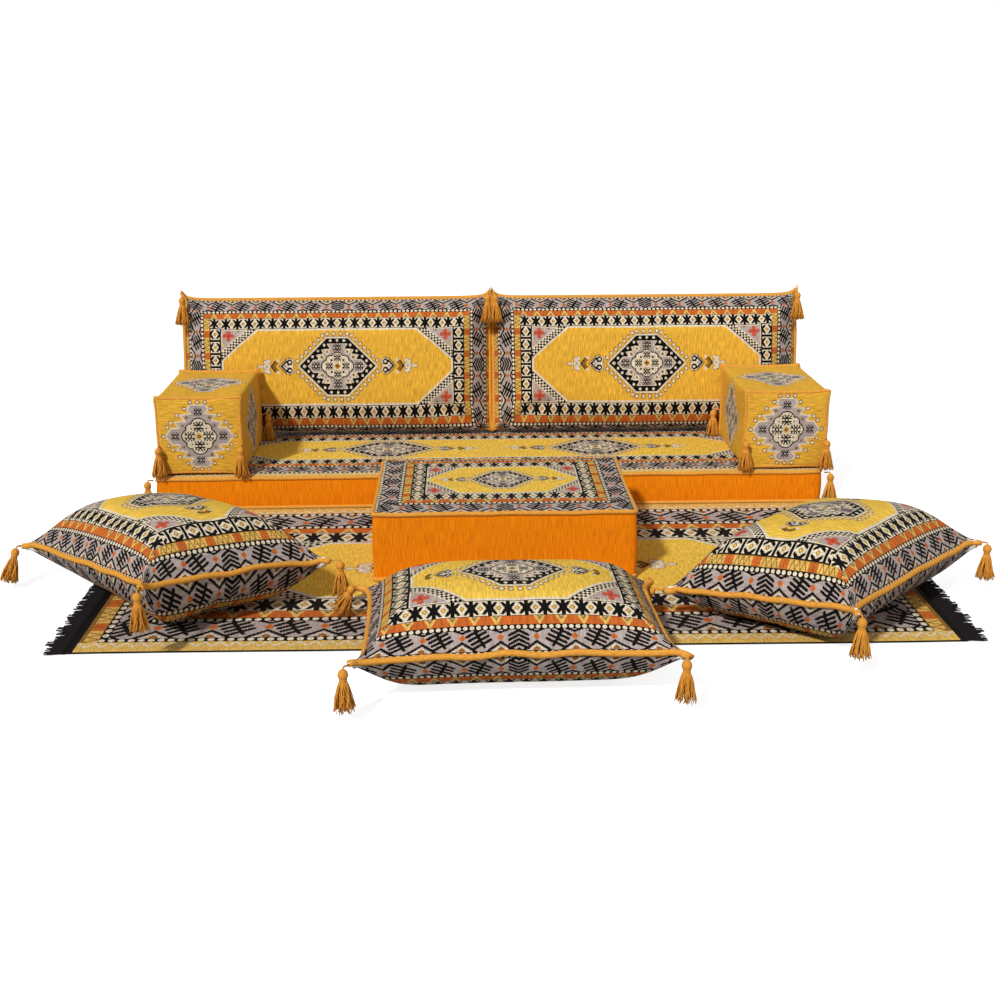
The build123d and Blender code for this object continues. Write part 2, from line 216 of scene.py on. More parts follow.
def corners_of(piece):
    """The vertex number of every face corner of a piece."""
    numbers = numpy.empty(len(piece.data.loops), numpy.int32)
    piece.data.loops.foreach_get("vertex_index", numbers)
    return numbers


def cut_of(piece):
    """The place of every face corner of a piece on its flat cloth, in metres: its UV map."""
    flat = numpy.empty(len(piece.data.loops) * 2, numpy.float32)
    piece.data.uv_layers.active.data.foreach_get("uv", flat)
    return flat.reshape(-1, 2)


def lay_cut(piece, cut):
    """Puts the face corners of a piece at those places on its flat cloth."""
    piece.data.uv_layers.active.data.foreach_set("uv", cut.astype(numpy.float32).ravel())


def grid(length, depth, columns, rows):
    """A flat grid of that size round the origin."""
    bpy.ops.object.select_all(action="DESELECT")
    bpy.ops.mesh.primitive_grid_add(x_subdivisions=columns, y_subdivisions=rows, size=1, calc_uvs=True)
    made = bpy.context.object
    made.scale = (length, depth, 1)
    bpy.ops.object.transform_apply()
    return made


def eased(moved, longest):
    """The moves of vertices, the long ones eased to stay under the longest that is allowed."""
    reach = numpy.linalg.norm(moved, axis=1, keepdims=True)
    return moved * (longest * numpy.tanh(reach / longest) / numpy.maximum(reach, 1e-9))


def into(places, plane):
    """Places from a plane's own frame into the room."""
    turn = numpy.array(plane.to_3x3())
    return places @ turn.T + numpy.array(plane.translation)


def harden(piece, kind, **settings):
    """Adds a modifier with its settings and applies it."""
    take(piece)
    bpy.ops.object.modifier_add(type=kind)
    modifier = piece.modifiers[-1]
    for setting, value in settings.items():
        setattr(modifier, setting, value)
    bpy.ops.object.modifier_apply(modifier=modifier.name)


def blow_up(piece, pressure, steps, held=None, bending=2.0):
    """Fills a sewn cover like stuffing does: cloth under pressure, its held vertices fixed."""
    take(piece)
    bpy.ops.object.modifier_add(type="CLOTH")
    cover = piece.modifiers[-1]
    cloth_settings = cover.settings
    cloth_settings.quality = 6
    cloth_settings.mass = 0.4
    cloth_settings.air_damping = 2
    cloth_settings.tension_stiffness = 25
    cloth_settings.compression_stiffness = 25
    cloth_settings.shear_stiffness = 12
    cloth_settings.bending_stiffness = bending
    cloth_settings.use_pressure = True
    cloth_settings.uniform_pressure_force = pressure
    cloth_settings.effector_weights.gravity = 0
    if held is not None:
        group = piece.vertex_groups.new(name="seams")
        group.add([int(number) for number in held], 1, "REPLACE")
        cloth_settings.vertex_group_mass = "seams"
    cover.collision_settings.use_collision = False
    cover.point_cache.frame_end = steps
    for step in range(1, steps + 1):
        bpy.context.scene.frame_set(step)
    bpy.ops.object.modifier_apply(modifier=cover.name)
    bpy.context.scene.frame_set(1)
    piece.vertex_groups.clear()


def settle(piece, name, body, slot, material, *nodes):
    """Names a finished piece, gives it its material, and lets it stand for its solids on their body."""
    piece.name = name
    piece.data.name = name
    piece.data.materials.clear()
    piece.data.materials.append(material)
    piece.data.shade_smooth()
    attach(piece, body)
    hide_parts(*nodes)
    return piece


def split_off(piece, faces):
    """Separates those faces from a piece into a new one."""
    take(piece)
    chosen = numpy.zeros(len(piece.data.polygons), bool)
    chosen[faces] = True
    bpy.ops.object.mode_set(mode="EDIT")
    bpy.ops.mesh.select_mode(type="FACE")
    bpy.ops.mesh.select_all(action="DESELECT")
    bpy.ops.object.mode_set(mode="OBJECT")
    piece.data.polygons.foreach_set("select", chosen)
    bpy.ops.object.mode_set(mode="EDIT")
    bpy.ops.mesh.separate(type="SELECTED")
    bpy.ops.object.mode_set(mode="OBJECT")
    return [other for other in bpy.context.selected_objects if other != piece][0]


def copy_of(piece):
    """A copy of a piece with its own mesh."""
    copied = piece.copy()
    copied.data = piece.data.copy()
    bpy.context.collection.objects.link(copied)
    return copied


def shrink(piece, depth):
    """Moves a piece's surface inwards along its normals."""
    place(piece, places_of(piece) - depth * normals_of(piece))


def corded(loop, plane, size):
    """Piping on a closed loop of points: a torus laid along it, its UV map running with the cord in metres."""
    count = len(loop)
    ahead = numpy.roll(loop, -1, 0) - numpy.roll(loop, 1, 0)
    ahead /= numpy.linalg.norm(ahead, axis=1, keepdims=True)
    up = numpy.array(plane.to_3x3().col[2])
    out = numpy.cross(ahead, up)
    out /= numpy.linalg.norm(out, axis=1, keepdims=True)
    rise = numpy.cross(out, ahead)
    bpy.ops.object.select_all(action="DESELECT")
    bpy.ops.mesh.primitive_torus_add(
        major_segments=count, minor_segments=10, major_radius=1, minor_radius=0.25, generate_uvs=True
    )
    cord = bpy.context.object
    ring = places_of(cord)
    turn = numpy.arctan2(ring[:, 1], ring[:, 0]) / (2 * pi) * count
    number = numpy.rint(turn).astype(int) % count
    aside = (numpy.hypot(ring[:, 0], ring[:, 1]) - 1) / 0.25
    above = ring[:, 2] / 0.25
    place(cord, loop[number] + size[0] * aside[:, None] * out[number] + size[1] * above[:, None] * rise[number])
    runs = numpy.linalg.norm(numpy.roll(loop, -1, 0) - loop, axis=1).sum()
    lay_cut(cord, cut_of(cord) * (runs, 2 * pi * max(size)))
    return cord


def resampled(loop, spacing):
    """A closed loop of points, evenly spaced."""
    runs = numpy.linalg.norm(numpy.roll(loop, -1, 0) - loop, axis=1)
    along = numpy.concatenate([[0], numpy.cumsum(runs)])
    closed = numpy.vstack([loop, loop[:1]])
    wanted = numpy.linspace(0, along[-1], round(along[-1] / spacing), endpoint=False)
    return numpy.stack([numpy.interp(wanted, along, closed[:, axis]) for axis in range(3)], 1)


def joined(pieces):
    """Several pieces joined into the first."""
    bpy.ops.object.select_all(action="DESELECT")
    for piece in pieces:
        piece.select_set(True)
    bpy.context.view_layer.objects.active = pieces[0]
    bpy.ops.object.join()
    return pieces[0]


def unevenness(places, size, seed):
    """Soft lumps of stuffing, from -1 to 1: a few waves that cross at odd angles."""
    total = numpy.zeros(len(places))
    for number in range(5):
        angle = seed + 2.4 * number
        wave = 2 * pi / size / (0.7 + 0.16 * number)
        way = numpy.array([cos(angle), sin(angle), 0.6 * cos(2 * angle)])
        total += numpy.sin(places @ way * wave + 1.7 * number + seed)
    return total / 5


def boxed_cover(plane, size, crown, pull, step, seed, zip_reach, lump=0.0012, ear=0):
    """A boxed cushion in the frame of its base: panel, band, base panel, two rounds of piping and foam. Its
    sides draw in by pull between the corners, which stand out by ear, and its faces are uneven by lump."""
    length, depth, height = (size[0] - 2 * BOXED_CORD[0] * 2, size[1] - 2 * BOXED_CORD[0] * 2, size[2])
    rows = round(height / step)
    cover = grid(length, depth, round(length / step), round(depth / step))
    bpy.ops.object.mode_set(mode="EDIT")
    for row in range(rows):
        bpy.ops.mesh.extrude_region_move(TRANSFORM_OT_translate={"value": (0, 0, height / rows)})
    bpy.ops.mesh.select_all(action="SELECT")
    bpy.ops.mesh.normals_make_consistent(inside=False)
    bpy.ops.object.mode_set(mode="OBJECT")

    box = places_of(cover)
    normals = numpy.empty(len(cover.data.polygons) * 3, numpy.float32)
    cover.data.polygons.foreach_get("normal", normals)
    normals = normals.reshape(-1, 3)
    corner_counts = numpy.empty(len(cover.data.polygons), numpy.int32)
    cover.data.polygons.foreach_get("loop_total", corner_counts)
    facing = numpy.repeat(normals, corner_counts, 0)
    flat = box[corners_of(cover)]
    aside = numpy.where(abs(facing[:, 0]) > 0.5, flat[:, 1], flat[:, 0])
    upward = numpy.where(abs(facing[:, 2]) > 0.5, flat[:, 1], flat[:, 2] - height / 2)
    lay_cut(cover, numpy.stack([aside, upward], 1))

    share_x, share_y = 2 * box[:, 0] / length, 2 * box[:, 1] / depth
    level = box[:, 2] / height
    formed = box.copy()
    formed[:, 0] -= pull * share_x**3 * (1 - share_y**2)
    formed[:, 1] -= pull * share_y**3 * (1 - share_x**2)
    eared = ear * (abs(share_x * share_y) ** 5 * abs(2 * level - 1) ** 3)[:, None]
    formed[:, :2] += eared * numpy.sign(box[:, :2])
    edge = numpy.minimum(length / 2 - abs(box[:, 0]), depth / 2 - abs(box[:, 1]))
    dome = numpy.clip(edge / (CROWN_SHOULDER * depth), 0, 1)
    formed[:, 2] += crown * (1 - (1 - dome) ** 2) * (level > 0.99)
    rear = (box[:, 1] > depth / 2 - 1e-5) & (abs(box[:, 0]) < zip_reach / 2 + ZIP_MARGIN)
    belly = BAND_BELLY * 4 * level * (1 - level)
    out_x = numpy.where(abs(share_x) > 0.9999, numpy.sign(share_x), 0)
    out_y = numpy.where(abs(share_y) > 0.9999, numpy.sign(share_y), 0) * (~rear)
    side = (level > 0.001) & (level < 0.999)
    formed[:, 0] += belly * out_x * side
    formed[:, 1] += belly * out_y * side
    place(cover, formed)
    seam = (abs(level - 1) < 1e-4) & (edge < 1e-5)
    still = seam | (level < 1e-4) | rear
    blow_up(cover, BOXED_PRESSURE, BOXED_STEPS, numpy.flatnonzero(still))
    formed = formed + eased(places_of(cover) - formed, BOXED_GIVE)
    lumps = lump * unevenness(box, BOXED_WAVE, seed)
    soft = (level > 1e-4) & ~rear
    formed[:, 2] += lumps * (level > 0.5) * soft
    formed[:, 0] += SIDE_LUMPS * lumps * out_x * soft
    formed[:, 1] += SIDE_LUMPS * lumps * out_y * soft
    place(cover, formed)

    loops = []
    rim = edge < 1e-5
    around = numpy.arctan2(share_y, share_x)
    for at, lift in ((1, -BOXED_CORD[1]), (0, BOXED_CORD[1] + REST_GAP)):
        chosen = numpy.flatnonzero(rim & (abs(level - at) < 1e-4))
        chosen = chosen[numpy.argsort(around[chosen])]
        loop = formed[chosen] + (0, 0, lift)
        loop = resampled(loop, BOXED_CORD_STEP)
        loop[:, 2] += CORD_WAVE * unevenness(loop, CORD_WAVE_LENGTH, seed + at) * at
        loops.append(corded(into(loop, plane), plane, BOXED_CORD_SHOWN))
    piping = joined(loops)

    foam = copy_of(cover)
    harden(foam, "SUBSURF", levels=1, render_levels=1)
    shrink(foam, CLOTH + FOAM_GAP)
    place(foam, into(places_of(foam), plane))
    place(cover, into(formed, plane))
    top = split_off(cover, numpy.flatnonzero(normals[:, 2] > 0.5))
    normals = normals[normals[:, 2] <= 0.5]
    base = split_off(cover, numpy.flatnonzero(normals[:, 2] < -0.5))
    pieces = {"panel": top, "band": cover, "base": base, "piping": piping, "foam": foam}
    for part in ("panel", "band", "base"):
        harden(pieces[part], "SUBSURF", levels=1, render_levels=1)
        harden(pieces[part], "SOLIDIFY", thickness=CLOTH, offset=-1)
    return pieces


# Kilim cloth, for every top: jacquard woven cotton and chenille, drawn on point paper in millimetres
# and woven in eight yarns. Each motif is one chart, which the bands round the field repeat and mirror.
YARNS = ("0d0907", "decfb4", "b0a19a", "c2642a", "e5ae3a", "8a6228", "dcb25c", "c2553c")
BLACK, CREAM, LILAC, TERRACOTTA, MUSTARD, BROWN, STRAW, CORAL = range(len(YARNS))
KNOT = 2.0
BLOCK_COLUMNS = 16
BLOCK_ROWS = 32


def chart(width, height, ground, knot=KNOT):
    """Point paper of that size, all in one yarn, with the place of every knot."""
    columns, rows = round(width / knot), round(height / knot)
    across, up = numpy.meshgrid((numpy.arange(columns) + 0.5) * knot, (numpy.arange(rows) + 0.5) * knot)
    return {"yarn": numpy.full((rows, columns), ground), "across": across, "up": up, "knot": knot}


def stroke(paper, points, width, yarn):
    """Draws a line of that width through the points."""
    for (x0, y0), (x1, y1) in zip(points, points[1:]):
        run_x, run_y = x1 - x0, y1 - y0
        along = ((paper["across"] - x0) * run_x + (paper["up"] - y0) * run_y) / (run_x**2 + run_y**2)
        along = numpy.clip(along, 0, 1)
        away = numpy.hypot(paper["across"] - x0 - along * run_x, paper["up"] - y0 - along * run_y)
        paper["yarn"][away < width / 2] = yarn


def shape(paper, points, yarn):
    """Fills a closed outline."""
    inside = numpy.zeros(paper["yarn"].shape, bool)
    for (x0, y0), (x1, y1) in zip(points, points[1:] + points[:1]):
        if y0 != y1:
            crossing = x0 + (paper["up"] - y0) * (x1 - x0) / (y1 - y0)
            inside ^= ((paper["up"] > y0) != (paper["up"] > y1)) & (paper["across"] < crossing)
    paper["yarn"][inside] = yarn


def dot(paper, x, y, radius, yarn, power=2):
    """Fills a round dot, or with a power of 1 a diamond."""
    away = numpy.abs(paper["across"] - x) ** power + numpy.abs(paper["up"] - y) ** power
    paper["yarn"][away < radius**power] = yarn


def claws(paper, x, y, size):
    """Paired black brackets round a white eye, the scorpion of kilim weavers."""
    for side in (-1, 1):
        for end in (-1, 1):
            for points in (
                ((0.20, 0.20), (0.62, 0.42), (0.95, 0.90)),
                ((0.62, 0.42), (1.05, 0.35)),
                ((0.10, 0.50), (0.40, 1.05)),
            ):
                line = [(x + side * size * p, y + end * size * q) for p, q in points]
                stroke(paper, line, size * 0.29, BLACK)
    dot(paper, x, y, size * 0.62, BLACK, 1)
    dot(paper, x, y, size * 0.30, CREAM, 1)


def scallops(paper, lobes, margin, outline):
    """Cream lobes run together in one outline."""
    for wider, yarn in ((margin, outline), (0, CREAM)):
        for x, y, radius in lobes:
            dot(paper, x, y, radius + wider, yarn)


def rosette(paper):
    """Scalloped cream rosette in a black outline, with four scorpions round a golden heart."""
    scallops(paper, ((0, 27, 18), (35, 0, 17.5), (22, 19, 15), (0, 0, 26)), 3.4, BLACK)
    claws(paper, 0, 28, 11)
    claws(paper, 28, 0, 11)
    dot(paper, 20, 20, 4.6, BLACK, 1)
    dot(paper, 0, 0, 13, STRAW, 1)
    dot(paper, 0, 0, 8.5, BROWN, 1)
    dot(paper, 0, 0, 4, BLACK, 1)


def bead(paper, x, y, radius):
    """Cream bead in a brown outline."""
    dot(paper, x, y, radius + 2.8, BROWN)
    dot(paper, x, y, radius, CREAM)


# Star band, a quarter of its repeat: a diamond at the left and half a six armed star at the right
STAR_PITCH = 39.6
STAR_BAND = 36
STAR_CELL = 44
stars = chart(20, 22, CREAM, 1.4)
stroke(stars, [(19.8, 0), (19.8, 18.5)], 9.5, BLACK)
stroke(stars, [(19.8, 0), (11.5, 7.0), (8.5, 11.5)], 7.4, BLACK)
dot(stars, 19.8, 0, 10, BLACK, 1)
stroke(stars, [(8.5, 11.5), (5.5, 13.0)], 4.4, BLACK)
dot(stars, 0, 0, 10.5, CREAM, 1)
dot(stars, 0, 0, 6.0, BROWN, 1)
dot(stars, 0, 0, 3.6, MUSTARD, 1)
stroke(stars, [(0, 20.4), (20, 20.4)], 4.2, BLACK)

# Block band: terracotta between cream peaks, and on the short sides blocks between zigzags
BLOCK_BAND = 21
PEAK_PITCH = 46.4
blocks = chart(23.2, BLOCK_BAND, TERRACOTTA, 1.4)
shape(blocks, [(-1, 21), (1.6, 21), (13.5, 0), (-1, 0)], STRAW)
shape(blocks, [(-1, 14), (8.2, -1), (-1, -1)], BROWN)
shape(blocks, [(-1, 9), (5, -1), (-1, -1)], LILAC)
stroke(blocks, [(0, 0.7), (24, 0.7)], 1.5, BLACK)
SIDE_PITCH = 73.5
side_blocks = chart(37, BLOCK_BAND, STRAW, 1.4)
stroke(side_blocks, [(0, 0), (7, 21), (14, 0), (21, 21)], 2.2, BROWN)
shape(side_blocks, [(25.5, -1), (38, -1), (38, 22), (25.5, 22)], TERRACOTTA)
for level in (0.7, 20.3):
    stroke(side_blocks, [(0, level), (37, level)], 1.5, BROWN)

# Hand band, from its mirrored centre: black hands and orange knobs on lilac, under and over zigzag lines
HAND_BAND = 46
HAND_CENTRE = 38
HAND_PITCH = 80
hands = chart(HAND_CENTRE + HAND_PITCH + 2, HAND_BAND, LILAC, 1.75)
for base in (44, 34.5, 24.5, 15):
    stroke(hands, [(0, base), (20, base - 10.5)], 6.0, BLACK)
shape(hands, [(-1, -1), (12, -1), (-1, 8)], BLACK)
for centre in (HAND_CENTRE, HAND_CENTRE + HAND_PITCH):
    for reach, top, width, yarn in ((31, 19.5, 5.6, BLACK), (20, 11.5, 2.6, CREAM)):
        stroke(hands, [(centre - reach, -2), (centre, top), (centre + reach, -2)], width, yarn)
    dot(hands, centre, 2, 6.5, BROWN)
    dot(hands, centre, 1, 3.2, TERRACOTTA)
    stroke(hands, [(centre - 20, 48), (centre, 40.5), (centre + 20, 48)], 4.6, BLACK)
    dot(hands, centre, 30, 6.8, TERRACOTTA, 1.4)
for finger in range(4):
    x, y = HAND_CENTRE + 54 - 5.4 * finger, 41.5 - 8.4 * finger
    stroke(hands, [(x - 17, y + 9.2), (x + 17, y - 9.2)], 6.4, BLACK)
stroke(hands, [(HAND_CENTRE + 54, 43), (HAND_CENTRE + 34, 10)], 6.0, BLACK)

# Bands round the field, from the inside out, with an edge of teeth and a black rim past them.
# On the short sides they are drawn wider, by one part in SHORT_SIDE.
DOT_BAND = 11
DOT_PITCH = 14
DOT_RADIUS, DOT_STRETCH = 4.3, 1.15
EDGE_PITCH = 22
TOOTH_MIDDLE, TOOTH_REACH = -2, 2.4
BANDS = (
    ("line", 2),
    ("star", STAR_BAND),
    ("block", BLOCK_BAND),
    ("dot", DOT_BAND),
    ("hand", HAND_BAND),
    ("dot", DOT_BAND),
)
SHORT_SIDE = 0.95

# Medallion, a quarter: a black bordered hexagon of stepped feathers round the rosette, in beads
MEDALLION_LENGTH, MEDALLION_DEPTH = 160, 118
medallion = chart(MEDALLION_LENGTH, MEDALLION_DEPTH, MUSTARD)
for reach, height, yarn in ((140, 103, BROWN), (137, 100, CREAM), (130, 94.5, BLACK)):
    inside = (medallion["across"] + medallion["up"] < reach) & (medallion["up"] < height)
    medallion["yarn"][inside] = yarn
feathers = [(0, 75), (33, 75), (22, 57), (53, 55), (45, 40), (70, 37), (60, 22), (81, 20), (98, 0)]
shape(medallion, feathers + [(98, -4), (0, -4)], LILAC)
stroke(medallion, feathers, 3.2, CREAM)
for x, y in ((34, 48), (53, 30)):
    dot(medallion, x, y, 12, CREAM, 1)
    dot(medallion, x, y, 5.5, BROWN, 1)
for x, y in ((0, 86.5), (23, 86.5), (44, 71), (65, 51), (84, 32), (98, 17)):
    dot(medallion, x, y, 5, CREAM, 1.4)
dot(medallion, 112, 0, 8, CREAM, 1)
for number in range(7):
    bead(medallion, 49 + 14.2 * number, 104 - 14.2 * number, 5.2)
for x in (11.5, 34):
    bead(medallion, x, 110, 5.2)
rosette(medallion)
claws(medallion, 0, 62, 12)
claws(medallion, 73, 0, 12)

# Pendant at each end of a medallion: a heart, a chevron and a three lobed flower
PENDANT_START = 140
PENDANT_CLEAR = 34
PENDANT_LENGTH, PENDANT_DEPTH = 134, 32
pendant = chart(PENDANT_LENGTH, PENDANT_DEPTH, MUSTARD)
for reach, yarn in ((2.4, BROWN), (0, CREAM)):
    dot(pendant, 22, 13, 14 + reach, yarn)
    tip = 56 + 1.5 * reach
    shape(pendant, [(8 - reach, -1), (30 + reach, 26 + reach), (tip, 0), (tip, -1)], yarn)
dot(pendant, 22, 13.5, 10, BLACK)
dot(pendant, 21, 14, 4.8, CREAM)
stroke(pendant, [(32, 17), (49, 0)], 5, BLACK)
dot(pendant, 36, 0, 7, LILAC, 1)
stroke(pendant, [(62, 17), (75, 0)], 9, BROWN)
stroke(pendant, [(71, 17), (84, 0)], 4.4, BLACK)
dot(pendant, 61, 20, 6, CREAM)
scallops(pendant, ((98, 0, 12), (92, 18, 6), (102, 15, 6), (122, 0, 6)), 2, BROWN)
stroke(pendant, [(108, 0), (118, 0)], 4, CREAM)
dot(pendant, 98, 0, 5, LILAC, 1)

# Corner of the field: a coral flower on lilac, cut off by a black and white check and a cream line
CORNER_HEIGHT = 88
TRIANGLE_SHARE = 0.69
CHECK = 6.6
FIELD_LINE = 7
THIN_LINE = 3
FLOWER_SIZE = 64
flower = chart(FLOWER_SIZE, FLOWER_SIZE, LILAC)
for x, y in ((12.5, 0), (-12.5, 0), (0, 12.5), (0, -12.5)):
    dot(flower, 25 + x, 25 + y, 7.6, CORAL)
dot(flower, 25, 25, 9, CORAL)
dot(flower, 25, 25, 3.6, BLACK, 1)
dot(flower, 57, 4, 6.5, BROWN, 1)
dot(flower, 5, 56, 6, STRAW, 1)


def read_chart(tree, paper, across, up):
    """Yarn number at a place on a chart. Each ramp holds rows of up to 16 knots as binary fractions."""
    column = maths(tree, "FLOOR", maths(tree, "DIVIDE", across, paper["knot"]))
    row = maths(tree, "FLOOR", maths(tree, "DIVIDE", up, paper["knot"]))
    rows, columns = paper["yarn"].shape
    word = (0, 0, 0)
    for left in range(0, columns, BLOCK_COLUMNS):
        reach = BLOCK_COLUMNS / 2
        here = maths(tree, "COMPARE", column, left + reach - 0.5, reach)
        for low in range(0, rows, BLOCK_ROWS):
            place = maths(tree, "MULTIPLY_ADD", row, 1 / BLOCK_ROWS, (0.5 - low) / BLOCK_ROWS)
            ramp = tree.nodes.new("ShaderNodeValToRGB")
            tree.links.new(place, ramp.inputs[0])
            ramp.color_ramp.interpolation = "CONSTANT"
            block = paper["yarn"][low : low + BLOCK_ROWS, left : left + BLOCK_COLUMNS]
            while len(ramp.color_ramp.elements) < len(block):
                ramp.color_ramp.elements.new(1)
            for number, knots in enumerate(block):
                weights = 0.5 ** numpy.arange(1, len(knots) + 1)
                planes = [float(((knots >> bit & 1) * weights).sum()) for bit in range(3)]
                ramp.color_ramp.elements[number].position = number / BLOCK_ROWS
                ramp.color_ramp.elements[number].color = (*planes, 1)
            part = scaled(tree, ramp.outputs[0], here)
            if rows > BLOCK_ROWS:
                middle = low + (BLOCK_ROWS - 1) / 2
                level = maths(tree, "COMPARE", row, middle, BLOCK_ROWS / 2)
                part = scaled(tree, part, level)
            word = vectors(tree, "ADD", word, part)
    knot_in_block = maths(tree, "FLOORED_MODULO", column, BLOCK_COLUMNS)
    power = maths(tree, "POWER", 2, maths(tree, "ADD", knot_in_block, 1))
    half_knot = 0.5 ** (BLOCK_COLUMNS + 1)
    word = vectors(tree, "ADD", word, (half_knot, half_knot, half_knot))
    word = scaled(tree, word, power)
    word = vectors(tree, "FLOOR", word)
    word = vectors(tree, "MODULO", word, (2, 2, 2))
    return vectors(tree, "DOT_PRODUCT", word, (1, 2, 4))


def weave_corner(tree, in_x, in_y, corner):
    """Yarn number inside the field: its corners, its cream line and its mustard ground."""
    yarn = read_chart(tree, flower, in_x, in_y)
    away = maths(tree, "MAXIMUM", in_x, in_y)
    near = maths(tree, "MINIMUM", in_x, in_y)
    yarn = mixed(tree, maths(tree, "GREATER_THAN", away, FLOWER_SIZE), yarn, LILAC)
    yarn = mixed(tree, maths(tree, "LESS_THAN", near, THIN_LINE), yarn, CREAM)
    share = vectors(tree, "DIVIDE", add(tree, "CombineXYZ", in_x, in_y), corner)
    share = vectors(tree, "DOT_PRODUCT", share, (1, 1, 0))
    slant = maths(tree, "SUBTRACT", in_x, in_y)
    slant = maths(tree, "FLOOR", maths(tree, "DIVIDE", slant, CHECK * sqrt(2)))
    ranks = maths(tree, "FLOOR", maths(tree, "MULTIPLY", share, CORNER_HEIGHT / CHECK))
    checks = maths(tree, "FLOORED_MODULO", maths(tree, "ADD", slant, ranks), 2)
    for start, over in (
        (TRIANGLE_SHARE - THIN_LINE / CORNER_HEIGHT, CREAM),
        (TRIANGLE_SHARE, checks),
        (1 - (FIELD_LINE + 2) / CORNER_HEIGHT, BLACK),
        (1 - FIELD_LINE / CORNER_HEIGHT, CREAM),
    ):
        yarn = mixed(tree, maths(tree, "GREATER_THAN", share, start), yarn, over)
    ground = maths(tree, "GREATER_THAN", share, 1)
    inner = maths(tree, "GREATER_THAN", near, FIELD_LINE)
    return mixed(tree, maths(tree, "MULTIPLY", ground, inner), yarn, MUSTARD)


def weave_motif(tree, yarn, paper, across, up):
    """Lays a chart over the cloth, apart from its mustard ground."""
    rows, columns = paper["yarn"].shape
    knots = read_chart(tree, paper, across, up)
    drawn = maths(tree, "COMPARE", knots, MUSTARD, 0.5)
    drawn = maths(tree, "SUBTRACT", 1, drawn)
    for place, size in ((across, columns), (up, rows)):
        within = maths(tree, "COMPARE", place, size * paper["knot"] / 2, size * paper["knot"] / 2)
        drawn = maths(tree, "MULTIPLY", drawn, within)
    return mixed(tree, drawn, yarn, knots)


def weave(tree, place, field, corner, motif):
    """Yarn number of a panel at a place in millimetres from its centre. field holds half the field's size,
    corner its corners' size and the width of its edge, and motif the medallions' distance from the centre
    and their stretch."""
    across, up, _ = taken_apart(tree, vectors(tree, "ABSOLUTE", place))
    half_x, half_y, _ = taken_apart(tree, field)
    apart, wider, taller = taken_apart(tree, motif)
    past_x = maths(tree, "SUBTRACT", across, half_x)
    past_y = maths(tree, "SUBTRACT", up, half_y)
    in_x = maths(tree, "MULTIPLY", past_x, -1)
    in_y = maths(tree, "MULTIPLY", past_y, -1)
    yarn = weave_corner(tree, in_x, in_y, corner)
    past_x = maths(tree, "MULTIPLY", past_x, SHORT_SIDE)
    past = maths(tree, "MAXIMUM", past_x, past_y)

    middle = maths(tree, "ABSOLUTE", maths(tree, "SUBTRACT", across, apart))
    middle = maths(tree, "DIVIDE", middle, wider)
    height = maths(tree, "DIVIDE", up, taller)
    yarn = weave_motif(tree, yarn, medallion, middle, height)
    middle = maths(tree, "SUBTRACT", middle, PENDANT_START)
    clear = maths(tree, "GREATER_THAN", in_x, PENDANT_CLEAR)
    yarn = mixed(tree, clear, yarn, weave_motif(tree, yarn, pendant, middle, height))

    start, outer = 0, 0
    for kind, width in BANDS:
        outer += width
        passed = maths(tree, "GREATER_THAN", past, outer)
        start = maths(tree, "MULTIPLY_ADD", passed, width, start)
    long_side = maths(tree, "GREATER_THAN", past_y, start)
    along = mixed(tree, long_side, up, across)
    level = maths(tree, "SUBTRACT", mixed(tree, long_side, past_x, past_y), start)

    row = maths(tree, "ABSOLUTE", maths(tree, "SUBTRACT", level, STAR_BAND / 2))
    column = maths(tree, "PINGPONG", along, STAR_PITCH / 2)
    cell = maths(tree, "PINGPONG", along, STAR_CELL / 2)
    cell = maths(tree, "SUBTRACT", STAR_CELL / 2, cell)
    star_column = mixed(tree, long_side, row, column)
    star_yarn = read_chart(tree, stars, star_column, mixed(tree, long_side, cell, row))

    peak = maths(tree, "PINGPONG", along, PEAK_PITCH / 2)
    centre_block = maths(tree, "LESS_THAN", along, PEAK_PITCH / 2)
    peak = mixed(tree, centre_block, peak, PEAK_PITCH / 2 - 1)
    block = maths(tree, "PINGPONG", along, SIDE_PITCH / 2)
    side_yarn = read_chart(tree, side_blocks, block, level)
    block_yarn = mixed(tree, long_side, side_yarn, read_chart(tree, blocks, peak, level))

    centred = maths(tree, "LESS_THAN", along, HAND_CENTRE)
    repeat = maths(tree, "SUBTRACT", along, HAND_CENTRE)
    repeat = maths(tree, "FLOORED_MODULO", repeat, HAND_PITCH)
    repeat = maths(tree, "ADD", repeat, HAND_CENTRE)
    repeat = mixed(tree, centred, repeat, along)
    hand_yarn = read_chart(tree, hands, repeat, maths(tree, "SUBTRACT", HAND_BAND, level))

    beads = maths(tree, "PINGPONG", along, DOT_PITCH / 2)
    beads = maths(tree, "DIVIDE", beads, DOT_STRETCH)
    beads = add(tree, "CombineXYZ", beads, maths(tree, "SUBTRACT", level, DOT_BAND / 2))
    beads = vectors(tree, "LENGTH", beads)
    dot_yarn = maths(tree, "LESS_THAN", beads, DOT_RADIUS)

    tooth = maths(tree, "PINGPONG", along, EDGE_PITCH / 2)
    tooth = maths(tree, "SUBTRACT", tooth, level)
    tooth = maths(tree, "COMPARE", tooth, TOOTH_MIDDLE, TOOTH_REACH)
    edge_yarn = mixed(tree, long_side, side_yarn, mixed(tree, tooth, STRAW, CREAM))

    overs = {"line": BLACK, "star": star_yarn, "block": block_yarn, "dot": dot_yarn, "hand": hand_yarn}
    layers, outer = [], 0
    for kind, width in BANDS:
        layers.append((outer, overs[kind]))
        outer += width
    rim = maths(tree, "ADD", outer, taken_apart(tree, corner)[2])
    for inner, over in layers + [(outer, edge_yarn), (rim, BLACK)]:
        yarn = mixed(tree, maths(tree, "GREATER_THAN", past, inner), yarn, over)
    return yarn


